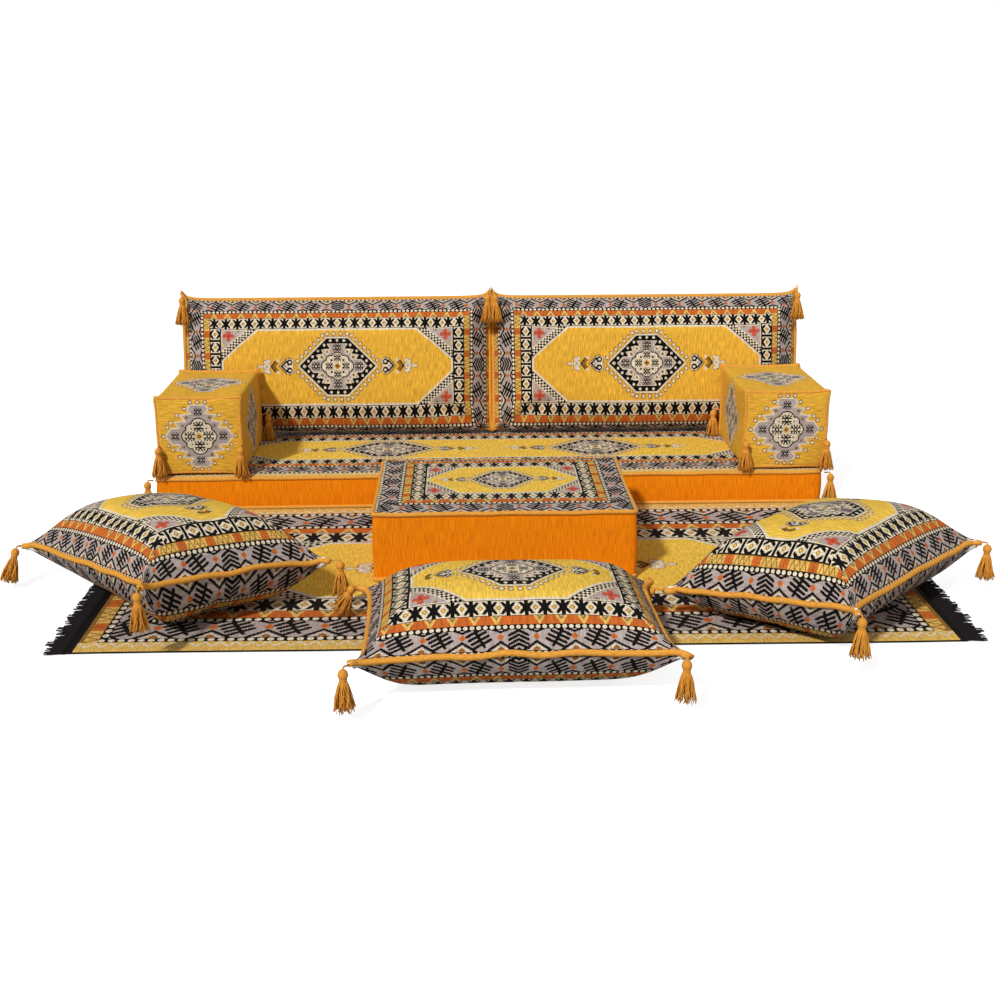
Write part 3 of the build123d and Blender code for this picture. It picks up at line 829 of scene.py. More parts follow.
kilim_weave = bpy.data.node_groups.new("kilim weave", "ShaderNodeTree")
for socket in ("Place", "Field", "Corner", "Motif"):
    kilim_weave.interface.new_socket(name=socket, in_out="INPUT", socket_type="NodeSocketVector")
kilim_weave.interface.new_socket(name="Yarn", in_out="OUTPUT", socket_type="NodeSocketFloat")
given = kilim_weave.nodes.new("NodeGroupInput").outputs
woven = weave(kilim_weave, *given[:4])
kilim_weave.links.new(woven, kilim_weave.nodes.new("NodeGroupOutput").inputs[0])


def weave_kilim(field, corner, motif):
    """The weave of a panel with that field, those corners and those medallions."""
    return lambda tree, place: add(tree, "Group", place, field, corner, motif, node_tree=kilim_weave)


RIBS = (2.2, 2.6)
MILLIMETRES = 1000


def pile_noise(tree, millimetres, pile):
    """Noise drawn out along the pile."""
    return add(tree, "TexNoise", vectors(tree, "MULTIPLY", millimetres, pile), None, 1.0, 3.0, 0.65)


def cloth(name, yarn_of, turned=False, stretch=(1, 1, 1), centre=(0, 0, 0), ground=YARNS[MUSTARD]):
    """Woven cloth whose UV map is in metres: yarn colours, streaks of chenille pile and ribs of the weft. The
    ground colour stands in for the mustard yarn. On top panels it is a paler, yellower mustard: painted light for
    the sheen and the brighter light on upward faces.
    """
    made, tree, shader = finish(name, 0.92)
    place = scaled(tree, add(tree, "UVMap"), MILLIMETRES)
    woven = vectors(tree, "SUBTRACT", place, centre)
    woven = vectors(tree, "DIVIDE", woven, stretch)
    palette = tree.nodes.new("ShaderNodeValToRGB")
    palette.color_ramp.interpolation = "CONSTANT"
    while len(palette.color_ramp.elements) < len(YARNS):
        palette.color_ramp.elements.new(1)
    for number, code in enumerate(YARNS):
        palette.color_ramp.elements[number].position = number / len(YARNS)
        # The mustard knots take the ground colour, which on top panels carries painted light and sheen.
        palette.color_ramp.elements[number].color = colour(ground if number == MUSTARD else code)
    number = maths(tree, "MULTIPLY_ADD", yarn_of(tree, woven), 1 / len(YARNS), 0.5 / len(YARNS))
    tree.links.new(number, palette.inputs[0])
    noise = pile_noise(tree, place, (1 / 30, 1 / 4, 1) if turned else (1 / 4, 1 / 30, 1))
    streak = add(tree, "MapRange", noise, 0.33, 0.67, 0.66, 1.2)
    ribs = vectors(tree, "SINE", vectors(tree, "MULTIPLY", place, (2 * pi / RIBS[0], 2 * pi / RIBS[1], 0)))
    ribs = vectors(tree, "DOT_PRODUCT", ribs, (1, 1, 0))
    height = maths(tree, "MULTIPLY_ADD", noise, 3.0, ribs)
    paint(tree, shader, tinted(tree, 1.0, palette.outputs[0], streak, "MULTIPLY"), height, 0.5, 0.0006)
    return made


# Top panels: the mustard ground is painted paler and yellower than on the backs and arms. This is painted light,
# standing in for the sheen of chenille and the stronger light on upward faces.
SHEEN_LIT_TOP_GROUND = "edc14c"
seat_kilim = cloth(
    "kilim weave of cotton and chenille, seat panel",
    weave_kilim((803, 107.3, 0), (168, 107.3, 140), (320, 1.05, 0.86)),
    stretch=(1.08, 1.14, 1),
    centre=(10, -47, 0),
    ground=SHEEN_LIT_TOP_GROUND,
)
back_kilim = cloth(
    "kilim weave of cotton and chenille, back cushion",
    weave_kilim((391, 130, 0), (131, 118, 70), (0, 1, 1)),
    centre=(0, -13, 0),
)
pillow_kilim = cloth(
    "kilim weave of cotton and chenille, floor pillow",
    weave_kilim((232, 148, 0), (131, 118, 70), (0, 0.9, 1)),
    ground=SHEEN_LIT_TOP_GROUND,
)
ottoman_kilim = cloth(
    "kilim weave of cotton and chenille, ottoman panel",
    weave_kilim((216, 107, 0), (103, 107, 20), (0, 0.686, 0.66)),
    stretch=(1, 1.3, 1),
    centre=(2, 22, 0),
    ground=SHEEN_LIT_TOP_GROUND,
)
rug_kilim = cloth(
    "flat kilim weave of the rug",
    weave_kilim((458, 103, 0), (165, 103, 25.5), (0, 1, 0.72)),
    stretch=(1.7, 2.22, 1),
    ground=SHEEN_LIT_TOP_GROUND,
)


def weave_arm(tree, place):
    """Yarn number of an arm block's face: its cross shaped medallion on plain chenille."""
    across, up, _ = taken_apart(tree, vectors(tree, "ABSOLUTE", place))
    return weave_motif(tree, MUSTARD, cross_medallion, across, up)


cross_medallion = chart(120, 120, MUSTARD)
cross = [(0, 100), (23, 100), (33, 86), (21, 72), (53, 68), (41, 49), (72, 45), (60, 28), (86, 25), (105, 0)]
shape(cross_medallion, cross + [(105, -4), (0, -4)], LILAC)
stroke(cross_medallion, cross, 5, CREAM)
for x, y in ((0, 108), (23, 108), (41, 88), (65, 67), (85, 43), (97.5, 29), (112, 0)):
    bead(cross_medallion, x, y, 4.6)
for x, y in ((35, 60), (49, 35)):
    dot(cross_medallion, x, y, 6, BROWN, 1)
scallops(cross_medallion, ((0, 34, 22), (33, 0, 19), (24, 24, 15), (0, 0, 26)), 3.5, BLACK)
claws(cross_medallion, 0, 31, 14)
claws(cross_medallion, 29, 0, 14)
dot(cross_medallion, 23, 25, 4, BLACK, 1)
claws(cross_medallion, 0, 78, 11)
claws(cross_medallion, 74, 0, 11)
dot(cross_medallion, 0, 0, 14, STRAW, 1)
dot(cross_medallion, 0, 0, 8, BLACK, 1)
dot(cross_medallion, 0, 0, 4, STRAW, 1)
arm_kilim = cloth("kilim weave of cotton and chenille, arm block", weave_arm, turned=True)

# Plain cloths and yarns: chenille with its pile in lines, each in a light and a dark shade of one dye.
ORANGE = ("eb8706", "cc6703")


def chenille(name, light, dark, pile):
    """Plain chenille: short pile in lines, lighter where it stands and darker between."""
    made, tree, shader = finish(name, 0.9)
    noise = pile_noise(tree, scaled(tree, add(tree, "UVMap"), MILLIMETRES), pile)
    share = add(tree, "MapRange", noise, 0.36, 0.62, 0.0, 1.0)
    paint(tree, shader, tinted(tree, share, colour(dark), colour(light)), noise, 0.6, 0.0012)
    return made


orange_chenille = chenille("chenille upholstery cloth, orange", *ORANGE, (1 / 2.0, 1 / 44, 1))
plain_cotton = chenille("plain cotton canvas", "c9b592", "b09a74", (1 / 1.6, 1 / 1.6, 1))
gold_cord = chenille("chenille covered piping cord, gold", "e2a044", "bd7e2c", (1 / 9, 1 / 2.4, 1))
tassel_yarn = chenille("rayon tassel yarn, gold", "e6a244", "ba7626", (1 / 2, 1 / 2, 1))
black_yarn = chenille("cotton warp yarn, black", "241f20", "0e0c0d", (1 / 2, 1 / 2, 1))
cushion_foam = chenille("polyurethane foam", "eadfbf", "d8caa2", (1 / 1.5, 1 / 1.5, 1))
insert_liner = chenille("nonwoven polyester liner", "ece9e2", "dcd8ce", (1 / 1.2, 1 / 1.2, 1))


def dress_block(block, body, kilim):
    """Finishes the pieces of the seat or the ottoman."""
    for part, name, slot, material, node in (
        ("panel", "_kilim_top", "kilim_panel", kilim, "_top_panel"),
        ("band", "_orange_sides", "chenille_orange", orange_chenille, "_band"),
        ("base", "_cotton_underside", "base_cloth", plain_cotton, "_base_panel"),
        ("piping", "_gold_cords", "piping_cord", gold_cord, "_piping"),
        ("foam", "_foam_block", "foam", cushion_foam, "_foam"),
    ):
        settle(block[part], body + name, body, slot, material, body + node)


seat = boxed_cover(Matrix.Identity(4), SEAT_SIZE, SEAT_CROWN, SEAT_PULL, 0.02, 0.4, SEAT_ZIP)
dress_block(seat, "seat", seat_kilim)


# Tassels: gold rayon yarn over a wound head, with a corded neck and a skirt of loose strands. One is made
# hanging from its top, and each corner gets a copy, which hangs or lies the way its solid does.
TASSEL_LENGTH = 0.092
TASSEL_RADIUS = 0.016
TASSEL_CORD = 0.0021
TASSEL_REACH = 0.022
HEAD_LENGTH = 0.0235
NECK_ROUNDS = 3
STRANDS = 90
GOLDEN_ANGLE = 2.39996


def tube(start_radius, length, rings, sides):
    """A closed tube down from the origin, in rings."""
    bpy.ops.object.select_all(action="DESELECT")
    bpy.ops.mesh.primitive_cylinder_add(vertices=sides, radius=start_radius, depth=length, end_fill_type="TRIFAN")
    made = bpy.context.object
    bpy.ops.object.mode_set(mode="EDIT")
    for ring in range(1, rings):
        bpy.ops.mesh.select_all(action="SELECT")
        level = length / 2 - length * ring / rings
        bpy.ops.mesh.bisect(plane_co=(0, 0, level), plane_no=(0, 0, 1))
    bpy.ops.object.mode_set(mode="OBJECT")
    bpy.ops.object.shade_smooth()
    place(made, places_of(made) - (0, 0, length / 2))
    return made


def make_tassel():
    """One tassel, hanging from the origin."""
    head = tube(1, HEAD_LENGTH, 12, 40)
    spots = places_of(head)
    drop = -spots[:, 2]
    angle = numpy.arctan2(spots[:, 1], spots[:, 0])
    profile = numpy.interp(
        drop,
        (0, 0.002, 0.0065, 0.012, 0.0175, 0.0205, HEAD_LENGTH),
        (0.0040, 0.0070, 0.0098, 0.0110, 0.0098, 0.0070, 0.0066),
    )
    profile *= 1 + 0.05 * numpy.cos(20 * (angle + 30 * drop))
    radial = numpy.hypot(spots[:, 0], spots[:, 1])
    place(head, numpy.stack([profile * radial * numpy.cos(angle), profile * radial * numpy.sin(angle), -drop], 1))
    parts = [head]
    for turn in range(NECK_ROUNDS):
        low = (0, 0, -0.0195 - 0.0019 * turn)
        bpy.ops.object.select_all(action="DESELECT")
        bpy.ops.mesh.primitive_torus_add(
            major_segments=28, minor_segments=6, major_radius=0.0074, minor_radius=0.0013, location=low
        )
        bpy.ops.object.transform_apply()
        bpy.ops.object.shade_smooth()
        parts.append(bpy.context.object)
    strand = tube(1, 1, 5, 4)
    spots = places_of(strand)
    for number in range(STRANDS):
        angle = number * GOLDEN_ANGLE
        share = sqrt((number + 0.5) / STRANDS)
        down = -spots[:, 2]
        reach = 0.067 + 0.004 * sin(1.7 * number)
        spread = (0.0064 + 0.0185 * down**0.75) * share
        turned = angle + 0.5 * sin(2.1 * number) * down + 0.16 * numpy.sin(8 * down + number)
        thick = 0.0016 * (1 - 0.3 * down)
        along_x = spread * numpy.cos(turned) + thick * spots[:, 0]
        along_y = spread * numpy.sin(turned) + thick * spots[:, 1]
        level = -HEAD_LENGTH - reach * down * (1 - 0.03 * share) - 0.0005 * share
        copied = copy_of(strand)
        place(copied, numpy.stack([along_x, along_y, level], 1))
        parts.append(copied)
    bpy.data.objects.remove(strand)
    return joined(parts)


tassel_model = make_tassel()


def hang(corner, heading, ground):
    """Corner, top and way down of a tassel off a corner along a heading, lying where the ground is near."""
    out = Vector((cos(radians(heading)), sin(radians(heading)), 0))
    fall = min(1, (corner.z - ground - TASSEL_RADIUS) / TASSEL_LENGTH)
    down = out * sqrt(1 - fall**2) - Vector((0, 0, fall))
    return corner, corner + out * TASSEL_REACH, down


def tassels(name, body, hangings, node):
    """Tassels at those corners, each on its cord, as one piece."""
    parts = []
    for number, (corner, top, down) in enumerate(hangings):
        side = (top - corner).cross(down).normalized()
        turn = Matrix((side, (-down).cross(side), -down)).transposed()
        parts.append(copy_of(tassel_model))
        spin = Matrix.Rotation(1.3 * number, 3, "Z")
        place(parts[-1], into(places_of(parts[-1]), Matrix.Translation(top) @ (turn @ spin).to_4x4()))
        line = bpy.data.curves.new("cord", "CURVE")
        line.dimensions = "3D"
        line.bevel_depth = TASSEL_CORD
        line.bevel_resolution = 2
        line.resolution_u = 8
        spline = line.splines.new("NURBS")
        middle = (corner + top) / 2 + (top - corner).cross(side).normalized() * 0.004
        spline.points.add(3)
        for point, spot in zip(spline.points, (corner, middle, top - down * 0.004, top + down * 0.006)):
            point.co = (*spot, 1)
        spline.order_u = 3
        spline.use_endpoint_u = True
        line.use_fill_caps = True
        cord = bpy.data.objects.new("cord", line)
        bpy.context.collection.objects.link(cord)
        take(cord)
        bpy.ops.object.convert(target="MESH")
        parts.append(cord)
    return settle(joined(parts), name, body, "tassel_yarn", tassel_yarn, node)


half_x, half_y, cord_level = SEAT_SIZE[0] / 2, SEAT_SIZE[1] / 2, SEAT_SIZE[2] - BOXED_CORD[1]
SIGNS = ((-1, -1), (1, -1), (1, 1), (-1, 1))
tassels(
    "seat_gold_tassels",
    "seat",
    [
        hang(Vector((x * half_x, y * half_y, cord_level)), heading, -TASSEL_RADIUS)
        for (x, y), heading in zip(SIGNS, (225, 315, 45, 135))
    ],
    "seat_tassels",
)


# Arm blocks: foam blocks on the ends of the seat, in kilim sleeves whose ends are kilim panels too. Each
# face is woven round its own cross shaped medallion.
ARM_SIZE = (0.27, 0.25, 0.419)
ARM_CROWN = 0.005
ARM_PULL = 0.001
ARM_LUMP = 0.0045
ARM_EAR = 0.005
ARM_REAR = 0.094
SEAT_TOP = 0.11
arm_middle = SEAT_TOP + REST_GAP + ARM_SIZE[1] / 2
for side, arm_x in (("left", -0.902), ("right", 0.926)):
    body = "arm_" + side
    plane = Matrix(((1, 0, 0, arm_x), (0, 0, -1, ARM_REAR), (0, 1, 0, arm_middle), (0, 0, 0, 1)))
    arm = boxed_cover(plane, ARM_SIZE, ARM_CROWN, ARM_PULL, 0.014, arm_x, 0, lump=ARM_LUMP, ear=ARM_EAR)
    ends = joined([arm["panel"], arm["base"]])
    settle(ends, body + "_kilim_ends", body, "kilim_panel", arm_kilim, body + "_end_panels")
    settle(arm["band"], body + "_kilim_sleeve", body, "kilim_panel", arm_kilim, body + "_sleeve")
    settle(arm["piping"], body + "_gold_cords", body, "piping_cord", gold_cord, body + "_piping")
    settle(arm["foam"], body + "_foam_block", body, "foam", cushion_foam, body + "_foam")
    level = SEAT_TOP + 0.0007 + TASSEL_LENGTH
    reach = ARM_SIZE[0] / 2 - 0.0028
    front, rear = -0.325, ARM_REAR - 0.0045
    corners = (
        (arm_x - reach + 0.005, front),
        (arm_x + reach - 0.005, front),
        (arm_x + reach, rear),
        (arm_x - reach, rear),
    )
    tassels(
        body + "_gold_tassels",
        body,
        [
            hang(Vector((x, y, level)), heading, SEAT_TOP - TASSEL_RADIUS)
            for (x, y), heading in zip(corners, (270, 270, 0, 180))
        ],
        body + "_tassels",
    )

# Back cushions: polyester stuffing in knife edge kilim covers, leaning on the rear of the seat, with
# gold piping round the seam and a tassel at each upper corner. A cover is cut flat, larger than its seam,
# and its sides rise round the stuffing to a nearly flat middle.
BACK_SIZE = (1.048, 0.488)
BACK_PULLS = (0.002, 0.030, 0.006)
BACK_EARS = 16
BACK_SAG = 0.016
BACK_TUCK = 0.028
BACK_RISE = 0.074
BACK_SOFTEN = 0.150
BACK_SPREAD = 4.6
BACK_TASSEL_DROP = 0.022
BACK_TASSEL_INSET = 0.008
STUFFED_CORD = 0.0072
STUFFED_CORD_STEP = 0.007
STUFFED_STEP = 0.0125
STUFFED_PRESSURE, STUFFED_STEPS, STUFFED_BENDING, STUFFED_GIVE = 3.0, 16, 0.6, 0.014
STUFFED_LUMP, STUFFED_WAVE = 0.004, 0.34
SEAM_WAVE, SEAM_WAVE_LENGTH = 0.0070, 0.14
TUCK_HOLD = 14
TUCK_ENDS = 0.4
REST_BLEND = 0.010
INSERT_GAP = 0.0035
MARGIN = 0.124


def press(height, floor_level, blend):
    """Heights kept above a level, softly over that blend."""
    above = height - floor_level
    low = blend * numpy.exp((numpy.minimum(above, blend) - blend) / blend)
    return floor_level + numpy.where(above < blend, low, above)


def swell(inset_x, inset_y, fullness):
    """Share of the rise at those shares of the softened margin, rounded where two sides meet."""
    near = (numpy.maximum(inset_x, 1e-4) ** -5 + numpy.maximum(inset_y, 1e-4) ** -5) ** -0.2
    return 1 - (1 - numpy.minimum(near, 1)) ** fullness


def roll_out(share, cut, reach, soften, arc):
    """How far in from the seam a part of the cut comes to lie, in softened margins, and its place across."""
    run = numpy.interp((1 - abs(share)) * cut, arc, numpy.linspace(0, soften, len(arc)))
    past = numpy.clip(((1 - abs(share)) * cut - arc[-1]) / (cut - arc[-1]), 0, 1)
    inset = run + past * (reach - soften)
    return inset / soften, numpy.sign(share) * (reach - inset)


def stuffed_cushion(
    body, seam, halves, size, pulls, ground, seed, names, kilim, woven=None, ears=4, sag=0, tuck=0, shift=0
):
    """A stuffed cushion: two covers sewn at a seam plane, each rising to its own plateau plane. The seam
    draws in by pulls between its corners, its lower side sags, and the cloth above that tucks in."""
    runs = numpy.linspace(0, 1, 40)
    fronts = []
    for plateau, soften, rise, fullness, dome in halves:
        profile = abs(rise) * swell(runs, runs * 0 + 9, fullness)
        arc = numpy.concatenate([[0], numpy.cumsum(numpy.hypot(numpy.diff(runs * soften), numpy.diff(profile)))])
        fronts.append(arc)
    extra = fronts[0][-1] - halves[0][1]
    cut = (size[0] / 2 - pulls[0] + extra, size[1] / 2 - pulls[1] + extra)
    cover = grid(2 * cut[0], 2 * cut[1], *(round(2 * width / STUFFED_STEP) for width in cut))
    half = len(cover.data.polygons)
    lay_cut(cover, places_of(cover)[corners_of(cover)][:, :2])
    bpy.ops.object.mode_set(mode="EDIT")
    bpy.ops.mesh.select_all(action="SELECT")
    bpy.ops.mesh.duplicate()
    bpy.ops.mesh.flip_normals()
    bpy.ops.object.mode_set(mode="OBJECT")

    flat = places_of(cover)
    shares = [numpy.clip(flat[:, axis] / cut[axis], -1, 1) for axis in (0, 1)]
    rim = numpy.maximum(abs(shares[0]), abs(shares[1])) > 0.9999
    lower = numpy.arange(len(flat)) >= len(flat) // 2
    spots = numpy.zeros_like(flat)
    for (plateau, soften, rise, fullness, dome), arc, chosen in zip(halves, fronts, (~lower, lower)):
        insets = []
        laid = numpy.zeros((chosen.sum(), 3))
        for axis in (0, 1):
            share, other = shares[axis][chosen], abs(shares[1 - axis][chosen])
            reach = size[axis] / 2 - pulls[axis]
            inset, way = roll_out(share, cut[axis], reach, soften, arc)
            sewn = roll_out(share, cut[axis], reach, halves[0][1], fronts[0])[1]
            way += (sewn - way) * other**6
            drawn = pulls[axis] * other**ears + pulls[2] * other**12
            laid[:, axis] = way + numpy.sign(way) * drawn * (abs(way) * 2 / size[axis]) ** 2
            insets.append(inset)
        out = abs(laid[:, :2]) * 2 / size
        low = (laid[:, 1] < 0) * numpy.minimum(insets[0] / TUCK_ENDS, 1)
        laid[:, 1] -= sag * (laid[:, 1] < 0) * out[:, 1] ** 2 * (1 - abs(shares[0][chosen]) ** ears)
        laid[:, 1] -= tuck * low * insets[1] * TUCK_HOLD * numpy.exp(1 - insets[1] * TUCK_HOLD)
        up = swell(*insets, fullness)[:, None] * ~rim[chosen, None]
        domed = laid - (out**2.4 @ dome)[:, None] * (0, 0, 1)
        waves = unevenness(flat[chosen], SEAM_WAVE_LENGTH, seed + 2) * rim[chosen]
        laid_waves = laid + SEAM_WAVE * waves[:, None] * (0, 0, 1)
        spots[chosen] = into(laid_waves, seam) * (1 - up) + into(domed, plateau) * up
    place(cover, spots)
    bpy.ops.object.mode_set(mode="EDIT")
    bpy.ops.mesh.select_all(action="SELECT")
    bpy.ops.mesh.remove_doubles(threshold=1e-4)
    bpy.ops.object.mode_set(mode="OBJECT")
    numbers = corners_of(cover)
    cut_place = numpy.zeros((len(cover.data.vertices), 2))
    cut_place[numbers] = cut_of(cover)
    share_x, share_y = cut_place[:, 0] / cut[0], cut_place[:, 1] / cut[1]
    rim = numpy.flatnonzero((abs(share_x) > 0.9999) | (abs(share_y) > 0.9999))
    spots = places_of(cover)
    blow_up(cover, STUFFED_PRESSURE, STUFFED_STEPS, rim, bending=STUFFED_BENDING)
    spots += eased(places_of(cover) - spots, STUFFED_GIVE)
    lumps = unevenness(spots, STUFFED_WAVE, seed) * (1 - share_x**4) * (1 - share_y**4)
    place(cover, spots)
    spots += STUFFED_LUMP * lumps[:, None] * normals_of(cover)
    spots[:, 2] = press(spots[:, 2], ground, REST_BLEND)
    place(cover, spots)

    cut_place[:, 0] -= shift
    if woven:
        for axis in (0, 1):
            past = (abs(cut_place[:, axis]) - woven[axis]) / (cut[axis] - woven[axis])
            tight = numpy.sign(cut_place[:, axis]) * (woven[axis] + MARGIN * past)
            cut_place[:, axis] = numpy.where(past > 0, tight, cut_place[:, axis])
    lay_cut(cover, cut_place[numbers])
    order = numpy.argsort(numpy.arctan2(share_y[rim], share_x[rim]))
    piping = corded(resampled(spots[rim[order]], STUFFED_CORD_STEP), seam, (STUFFED_CORD, STUFFED_CORD))
    insert = copy_of(cover)
    shrink(insert, INSERT_GAP)
    lower_cover = split_off(cover, numpy.arange(half, 2 * half))
    for part in (cover, lower_cover):
        harden(part, "SUBSURF", levels=1, render_levels=1)
        harden(part, "SOLIDIFY", thickness=CLOTH, offset=-1)
    for part, (name, node) in zip((cover, lower_cover), names):
        settle(part, body + "_kilim_" + name, body, "kilim_panel", kilim, body + "_cover_" + node)
    settle(piping, body + "_gold_cord", body, "piping_cord", gold_cord, body + "_piping")
    settle(insert, body + "_stuffing", body, "insert_liner", insert_liner, body + "_insert")


back_turn = radians(10)
for side, back_x, shift in (("left", -0.5135, 0.006), ("right", 0.5445, -0.0025)):
    body = "back_" + side
    up = Vector((0, sin(back_turn), cos(back_turn)))
    front = Vector((0, -cos(back_turn), sin(back_turn)))
    level = SEAT_TOP + REST_GAP + 0.01 + 0.005 * sin(back_turn)
    centre = Vector((back_x, 0.16, level)) + up * BACK_SIZE[1] / 2
    plane = Matrix.Translation(centre) @ Matrix((Vector((1, 0, 0)), up, front)).transposed().to_4x4()
    halves = [
        (plane @ Matrix.Translation((0, 0, rise)), BACK_SOFTEN, rise, BACK_SPREAD, (0, 0))
        for rise in (BACK_RISE, -BACK_RISE)
    ]
    stuffed_cushion(
        body, plane, halves, BACK_SIZE, BACK_PULLS, SEAT_TOP + REST_GAP, back_x,
        (("front", "front"), ("rear", "back")), back_kilim,
        ears=BACK_EARS, sag=BACK_SAG, tuck=BACK_TUCK, shift=shift,
    )
    hangings = []
    for end in (-1, 1):
        corner = plane @ Vector((end * (BACK_SIZE[0] / 2 + 0.003), BACK_SIZE[1] / 2 + 0.003, 0.005))
        aside, height = end * (BACK_SIZE[0] / 2 - BACK_TASSEL_INSET), BACK_SIZE[1] / 2 - BACK_TASSEL_DROP
        top = plane @ Vector((aside, height, BACK_RISE * 0.6 + TASSEL_RADIUS))
        hangings.append((corner, top, -up))
    tassels(body + "_gold_tassels", body, hangings, body + "_tassels")

# Rug: a flat woven kilim on the floor in front of the seat, with knotted black warp ends as its fringe.
RUG_SIZE = (2.137, 1.143)
RUG_CLOTH = 0.0032
FRINGE_LENGTH = 0.0625
TUFTS, TUFT_YARNS = 40, 13
KNOT_AT = 0.16
RUG_CENTRE = (0.044, -0.3503 - RUG_SIZE[1] / 2)
rug = grid(*RUG_SIZE, 108, 58)
spots = places_of(rug)
lay_cut(rug, spots[corners_of(rug)][:, :2])
edge = numpy.minimum(RUG_SIZE[0] / 2 - abs(spots[:, 0]), RUG_SIZE[1] / 2 - abs(spots[:, 1]))
spots[:, 1] += 0.003 * numpy.sin(spots[:, 0] * 5.1) * (spots[:, 1] < -0.5)
spots[:, 2] = 0.0042 + 0.0010 * unevenness(spots, 0.5, 3) * numpy.clip(edge / 0.05, 0, 1)
spots[:, :2] += RUG_CENTRE
place(rug, spots)
harden(rug, "SOLIDIFY", thickness=RUG_CLOTH, offset=-1)
harden(rug, "BEVEL", width=0.001, segments=2, limit_method="ANGLE")
settle(rug, "kilim_rug", "rug", "rug_weave", rug_kilim, "rug")

lock = tube(1, 1, 4, 3)
spots = places_of(lock)
locks = []
for side in (-1, 1):
    for tuft in range(TUFTS):
        wave = (1 + sin(radians(132 * tuft + side))) / 2
        reach = FRINGE_LENGTH * (1 - 0.14 * wave)
        middle = RUG_SIZE[1] / TUFTS * (tuft + 0.5) - RUG_SIZE[1] / 2
        for number in range(TUFT_YARNS):
            down = -spots[:, 2]
            across = (number - 6) * 0.0022
            lean = 0.5 * sin(2.3 * number + 1.1 * tuft) + 0.5 * sin(1.9 * tuft)
            run = reach * (0.86 + 0.14 * sin(3.1 * number + tuft))
            gather = 1 - 0.2 * numpy.exp(-(((down - KNOT_AT) / 0.08) ** 2))
            y = middle + across * gather + lean * 0.012 * down**2 + 0.0012 * numpy.sin(6 * down + number)
            thick = 0.0022 * (1 - 0.35 * down)
            knot = 0.0006 * numpy.exp(-(((down - KNOT_AT) / 0.05) ** 2))
            z = 0.0016 + (thick + knot) * spots[:, 1] + 0.001 * (number % 2) + 0.0012 * (1 - down)
            x = RUG_CENTRE[0] + side * (RUG_SIZE[0] / 2 - 0.002 + run * down)
            copied = copy_of(lock)
            place(copied, numpy.stack([x, RUG_CENTRE[1] + y + thick * spots[:, 0], z], 1))
            locks.append(copied)
bpy.data.objects.remove(lock)
fringe = joined(locks)
take(fringe)
bpy.ops.object.mode_set(mode="EDIT")
bpy.ops.mesh.select_all(action="SELECT")
bpy.ops.mesh.normals_make_consistent(inside=False)
bpy.ops.object.mode_set(mode="OBJECT")
settle(fringe, "rug_black_fringe", "rug", "rug_fringe", black_yarn, "rug_fringe")

# Ottoman: a square foam block made as the seat is, standing on the rug.
OTTOMAN_SIZE = (0.712, 0.554, 0.189)
OTTOMAN_PLACE = (0.024, -0.763)
OTTOMAN_CROWN = 0.005
OTTOMAN_PULL = 0.002
OTTOMAN_ZIP = 0.42
ON_RUG = 0.0063
ottoman_plane = Matrix.Translation((*OTTOMAN_PLACE, ON_RUG))
ottoman = boxed_cover(ottoman_plane, OTTOMAN_SIZE, OTTOMAN_CROWN, OTTOMAN_PULL, 0.016, 2.1, OTTOMAN_ZIP)
dress_block(ottoman, "ottoman", ottoman_kilim)

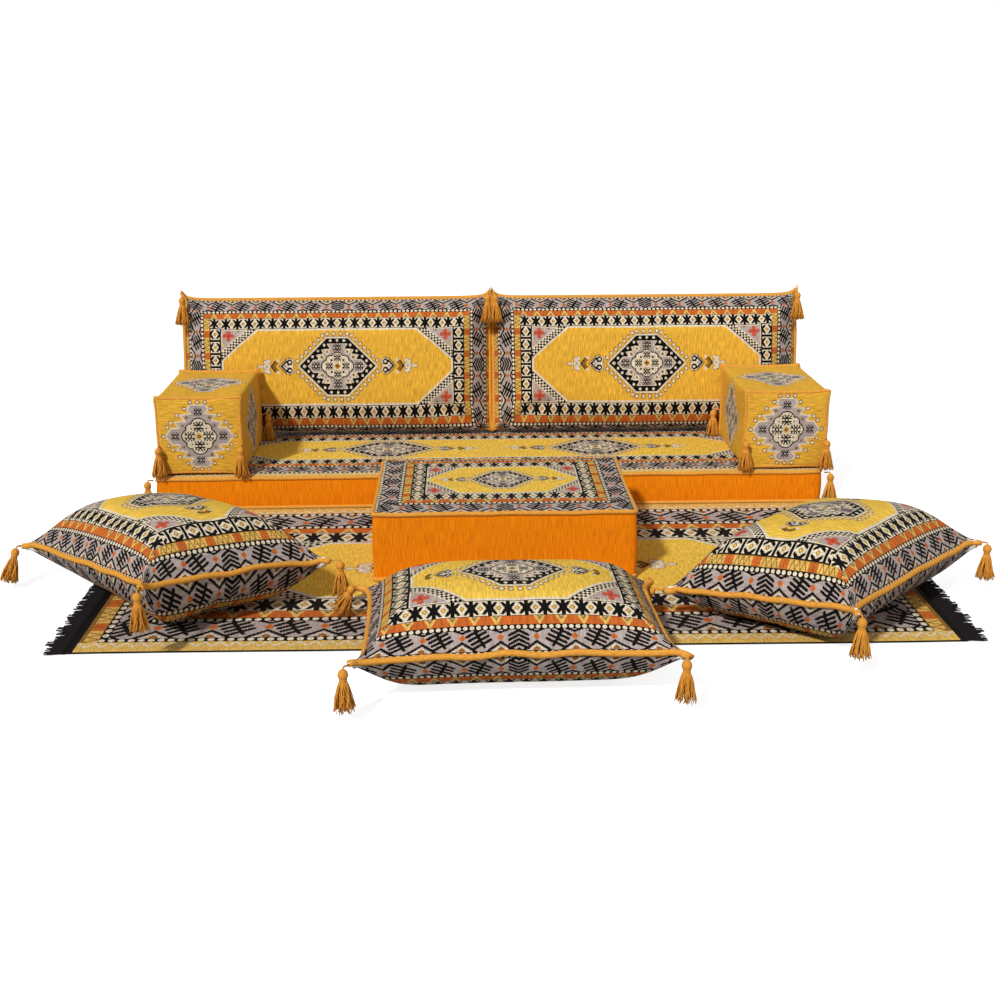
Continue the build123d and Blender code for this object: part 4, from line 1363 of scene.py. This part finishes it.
# Floor pillows: three knife edge cushions, stuffed fuller than the backs, lying on the rug and the floor,
# with a tassel at every corner.
PILLOW_SIZE = (0.712, 0.512)
PILLOW_PULLS = (0.030, 0.032, 0.0145)
PILLOW_DOME = (0.040, 0.022)
PILLOW_SOFTEN = 0.180
PILLOW_SPREAD = 4.0
PILLOW_REST_SOFTEN = 0.150
PILLOW_REST_SPREAD = 2.8
PILLOW_CORD_OUT = 0.004
for name, centre, turn, tilt, rise, headings in (
    ("front", (0.025, -1.588, 0.110), 1.6, (0, -2.4), 0.117, (245, 240, 100, 135)),
    ("left", (-0.845, -1.095, 0.114), -51.6, (6.2, -5.3), 0.140, (255, 270, 350, 100)),
    ("right", (0.832, -1.242, 0.107), 49, (-1.5, -7), 0.144, (270, 285, 80, 150)),
):
    body = "pillow_" + name
    turned, long_rise, short_rise = radians(turn), radians(tilt[0]), radians(tilt[1])
    along = Vector((cos(turned) * cos(long_rise), sin(turned) * cos(long_rise), sin(long_rise)))
    flat_across = Vector((-sin(turned), cos(turned), 0))
    across = flat_across * cos(short_rise) + along.cross(flat_across) * sin(short_rise)
    plane = Matrix.Translation(centre) @ Matrix((along, across, along.cross(across))).transposed().to_4x4()
    belly = Matrix.Translation((centre[0], centre[1], ON_RUG)) @ Matrix.Rotation(turned, 4, "Z")
    halves = (
        (plane @ Matrix.Translation((0, 0, rise)), PILLOW_SOFTEN, rise, PILLOW_SPREAD, PILLOW_DOME),
        (belly, PILLOW_REST_SOFTEN, centre[2], PILLOW_REST_SPREAD, (0, 0)),
    )
    stuffed_cushion(
        body, plane, halves, PILLOW_SIZE, PILLOW_PULLS, ON_RUG + REST_GAP, turn + 0.5,
        (("upper", "top"), ("lower", "bottom")), pillow_kilim, woven=(0.232, 0.150),
    )
    reach_x, reach_y = (width / 2 + PILLOW_CORD_OUT for width in PILLOW_SIZE)
    corners = [plane @ Vector((x * reach_x, y * reach_y, 0)) for x, y in SIGNS]
    tassels(
        body + "_gold_tassels",
        body,
        [hang(corner, heading, ON_RUG) for corner, heading in zip(corners, headings)],
        body + "_tassels",
    )
bpy.data.objects.remove(tassel_model)

# Zips: nylon coil chains on woven tape in the back of every cover but the pillows', each with a cast slider.


def grained(name, roughness, light, dark, grain):
    """A material that shifts between two colours in fine grain, laid out in the room in metres."""
    made, tree, shader = finish(name, roughness)
    place = vectors(tree, "MULTIPLY", add(tree, "TexCoord", output=3), grain)
    noise = add(tree, "TexNoise", place, None, 1.0, 2.0, 0.6)
    share = add(tree, "MapRange", noise, 0.35, 0.65, 0.0, 1.0)
    paint(tree, shader, tinted(tree, share, colour(dark), colour(light)))
    return made, shader


# Zip tape: ribbed polyester, dyed golden brown. Slider: cast zinc plated with brass, darker where it tarnished
zip_cloth, shader = grained("woven polyester zip tape", 0.8, "96682c", "6e481a", (900, 250, 900))
zip_brass, shader = grained("antiqued brass casting", 0.38, "b08d4e", "6f5528", (180, 180, 180))
shader.inputs["Metallic"].default_value = 1
for body in ("seat", "arm_left", "arm_right", "back_left", "back_right", "ottoman"):
    for node, material in (("_zip", zip_cloth), ("_zip_slider", zip_brass)):
        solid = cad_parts[body + node]
        for slot in solid.material_slots:
            slot.material = material
